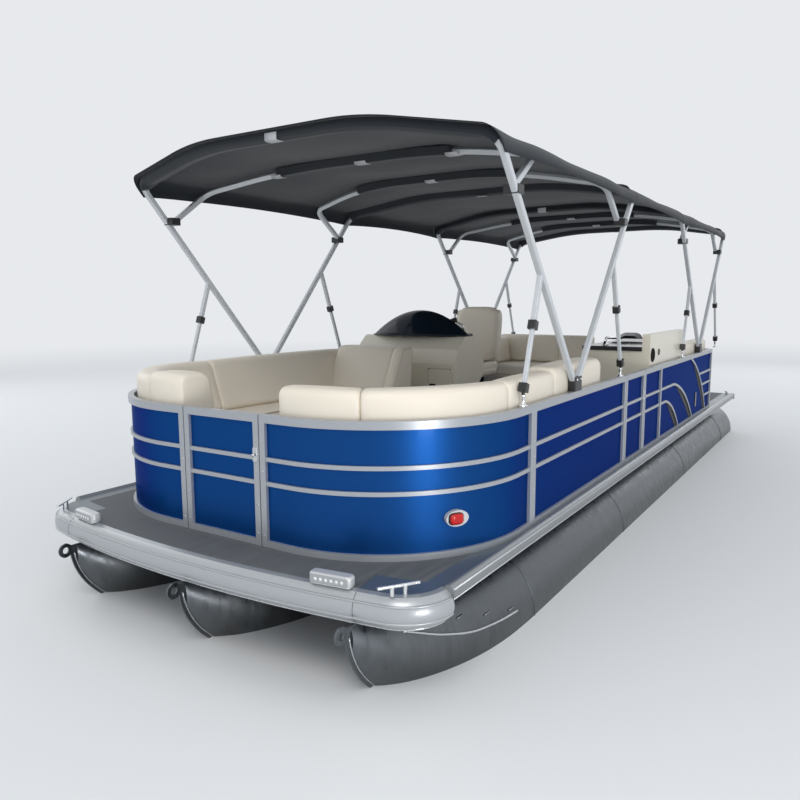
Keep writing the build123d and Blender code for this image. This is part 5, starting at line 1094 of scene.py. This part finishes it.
# Outboard motor: gloss black cowl on a painted aluminium leg, with a stainless propeller.
# It is held by a clamp bracket on the pod and is stored tilted up.
TILT = math.radians(60)
MOTOR_PIVOT = at(7.70, 0, -0.015)
motor_forward = Vector((math.cos(TILT), 0, -math.sin(TILT)))
motor_up = Vector((math.sin(TILT), 0, math.cos(TILT)))
MOTOR_BLACK = (0.010, 0.010, 0.011)
lacquer = {"Coat Weight": 0.9}
motor_black = finish("motor_black", MOTOR_BLACK, 0.18, 0.0, 6.0, (1, 1, 1), 0.15, 0.04, 0.01, lacquer)
put_on(motor_black, "motor_cowl")
motor_metal = finish("motor_metal", (0.022, 0.022, 0.024), 0.38, 0.3, 30.0, (1, 1, 1), 0.15, 0.06, 0.03)
put_on(motor_metal, "motor_bracket", "motor_swivel", "motor_leg", "engine_block")
steel = finish("steel", (0.50, 0.50, 0.51), 0.22, 1.0, 50.0, (1, 1, 1), 0.05, 0.05, 0.02)
put_on(steel, "propeller")


def motor_point(ahead, side, rise):
    """Place on the motor, measured from its tilt pivot along its own tilted axes."""
    return MOTOR_PIVOT + motor_forward * ahead + PORT * side + motor_up * rise


# Cowl trims: a dark band at the foot of the cowl, air slots high at its back, and a latch in front.
# They are black mouldings on the part that steers.
PAN_LENGTH, PAN_WIDTH = 0.470, 0.330
PAN_CORNER = 0.1155
PAN_BEND = 0.1185
band_loop = []
for k in range(65):
    a = 2 * math.pi * (k + 0.5) / 64
    x = math.copysign(PAN_LENGTH / 2 - PAN_CORNER, math.cos(a)) + PAN_BEND * math.cos(a)
    y = math.copysign(PAN_WIDTH / 2 - PAN_CORNER, math.sin(a)) + PAN_BEND * math.sin(a)
    band_loop.append(motor_point(-0.04 - PAN_LENGTH / 2 + x, y, 0.116))
trims = [sweep("seal", band_loop, disc(0.006, 8, 1.4), black_plastic, motor_up, capped=False)]
for k, side in [(k, side) for k in range(5) for side in (1, -1)]:
    spot = motor_point(-0.505, side * 0.055, 0.40 + 0.022 * k)
    trims.append(slab("slot", (0.07, 0.010, 0.006), spot, black_plastic, 0.002, PORT, -motor_forward, 0.005))
spot = motor_point(-0.024, 0, 0.18)
trims.append(slab("cowl_latch", (0.09, 0.035, 0.014), spot, black_plastic, 0.005, PORT, motor_forward, 0.012))
fix(join("cowl_trims", trims), "motor_steer_part")

# Trim tab under the plate, ahead of the propeller, round caps on the tilt pin's ends, and the
# propeller's nut
TAB_SIZE = (0.050, 0.045, 0.010)
tab = slab("trim_tab", TAB_SIZE, motor_point(-0.432, 0, -0.578), steel, 0.003, motor_forward, PORT, 0.008)
fix(tab, "motor_steer_part")
cap = [(0.020, 0.0), (0.020, 0.006), (0.012, 0.011), (0.0, 0.0115)]
caps = [turned("pivot_cap", cap, motor_point(0, side * 0.095, 0), PORT * side, steel, 24) for side in (1, -1)]
fix(join("pivot_caps", caps))
nut = [(0.024, 0.0), (0.024, 0.010), (0.014, 0.022), (0.0, 0.024)]
cone = turned("prop_nut", nut, motor_point(-0.564, 0, -0.738), -motor_forward, steel, 24)
fix(cone, "propeller_part")

# Cleats and lamps: chrome cleats on two posts, squarish side lamps with coloured lenses on a black
# gasket, and docking lights whose pale lens covers a row of diodes
LENS_HALF = (0.034, 0.025)
LENS_AHEAD = 0.008
LENS_POINTS = 36
LAMP_ANGLE = math.radians(57.8)
LAMP_FACE = CORNER_R - 0.016 + 0.0243
GASKET = ((1.14, -0.004), (1.14, 0.003), (1.06, 0.006), (0.0, 0.006))
LENS = ((1.0, 0.003), (1.0, 0.009), (0.93, 0.014), (0.7, 0.018), (0.35, 0.020), (0.0, 0.0205))
DIODE = [(0.008, 0.0), (0.006, 0.003), (0.0, 0.0035)]
BAR_TURN = math.radians(8)
put_on(chrome, "cleats")
lamp_white = finish("lamp_white", (0.60, 0.61, 0.62), 0.32, 0.3, 60.0, (1, 1, 1), 0.02, 0.04, 0.0)
put_on(lamp_white, "lamps")
lens_red = finish("lens_red", (0.55, 0.01, 0.01), 0.12, 0.0, 90.0, (1, 1, 1), 0.1, 0.03, 0.01)
lens_green = finish("lens_green", (0.01, 0.35, 0.10), 0.12, 0.0, 90.0, (1, 1, 1), 0.1, 0.03, 0.01)
lens_clear = finish("lens_clear", (0.36, 0.375, 0.39), 0.10, 0.0, 90.0, (1, 1, 1), 0.05, 0.03, 0.01)
for (side, hand), colored in zip(HANDS, (lens_red, lens_green)):
    outward = Vector((math.cos(LAMP_ANGLE), side * math.sin(LAMP_ANGLE), 0))
    sideways = UP.cross(outward)
    middle = at(FENCE_FRONT + CORNER_R, side * 0.43, 0.179)
    middle += outward * LAMP_FACE - sideways * side * LENS_AHEAD
    parts = []
    for made, profile in ((black_plastic, GASKET), (colored, LENS)):
        points = []
        for scale, height in profile:
            for c, s in disc(1.0, LENS_POINTS):
                across = math.copysign(abs(c) ** 0.6, c) * LENS_HALF[0] * scale
                above = math.copysign(abs(s) ** 0.6, s) * LENS_HALF[1] * scale
                points.append(middle + outward * height + sideways * across + UP * above)
        faces = [*quads(len(profile), LENS_POINTS), tuple(range(LENS_POINTS))]
        parts.append(mesh_piece("lens", points, faces, made))
    fix(join("side_lamp_lens_" + hand, parts))

docking = []
for side in (1, -1):
    row_axis = Vector((-math.sin(BAR_TURN) * side, math.cos(BAR_TURN), 0))
    face_axis = row_axis.cross(UP)
    middle = at(0.11, side * 0.83, 0.024)
    docking.append(slab("housing", (0.200, 0.0585, 0.050), middle, lamp_white, 0.012, row_axis, UP, 0.022))
    spot = middle + face_axis * 0.0262
    docking.append(slab("lens", (0.176, 0.036, 0.010), spot, lens_clear, 0.003, row_axis, face_axis, 0.010))
    for k in range(6):
        spot = middle + face_axis * 0.0305 + row_axis * (-0.0625 + 0.025 * k)
        docking.append(turned("diode", DIODE, spot, face_axis, gauge_white, 16))
fix(join("docking_light_lenses", docking))
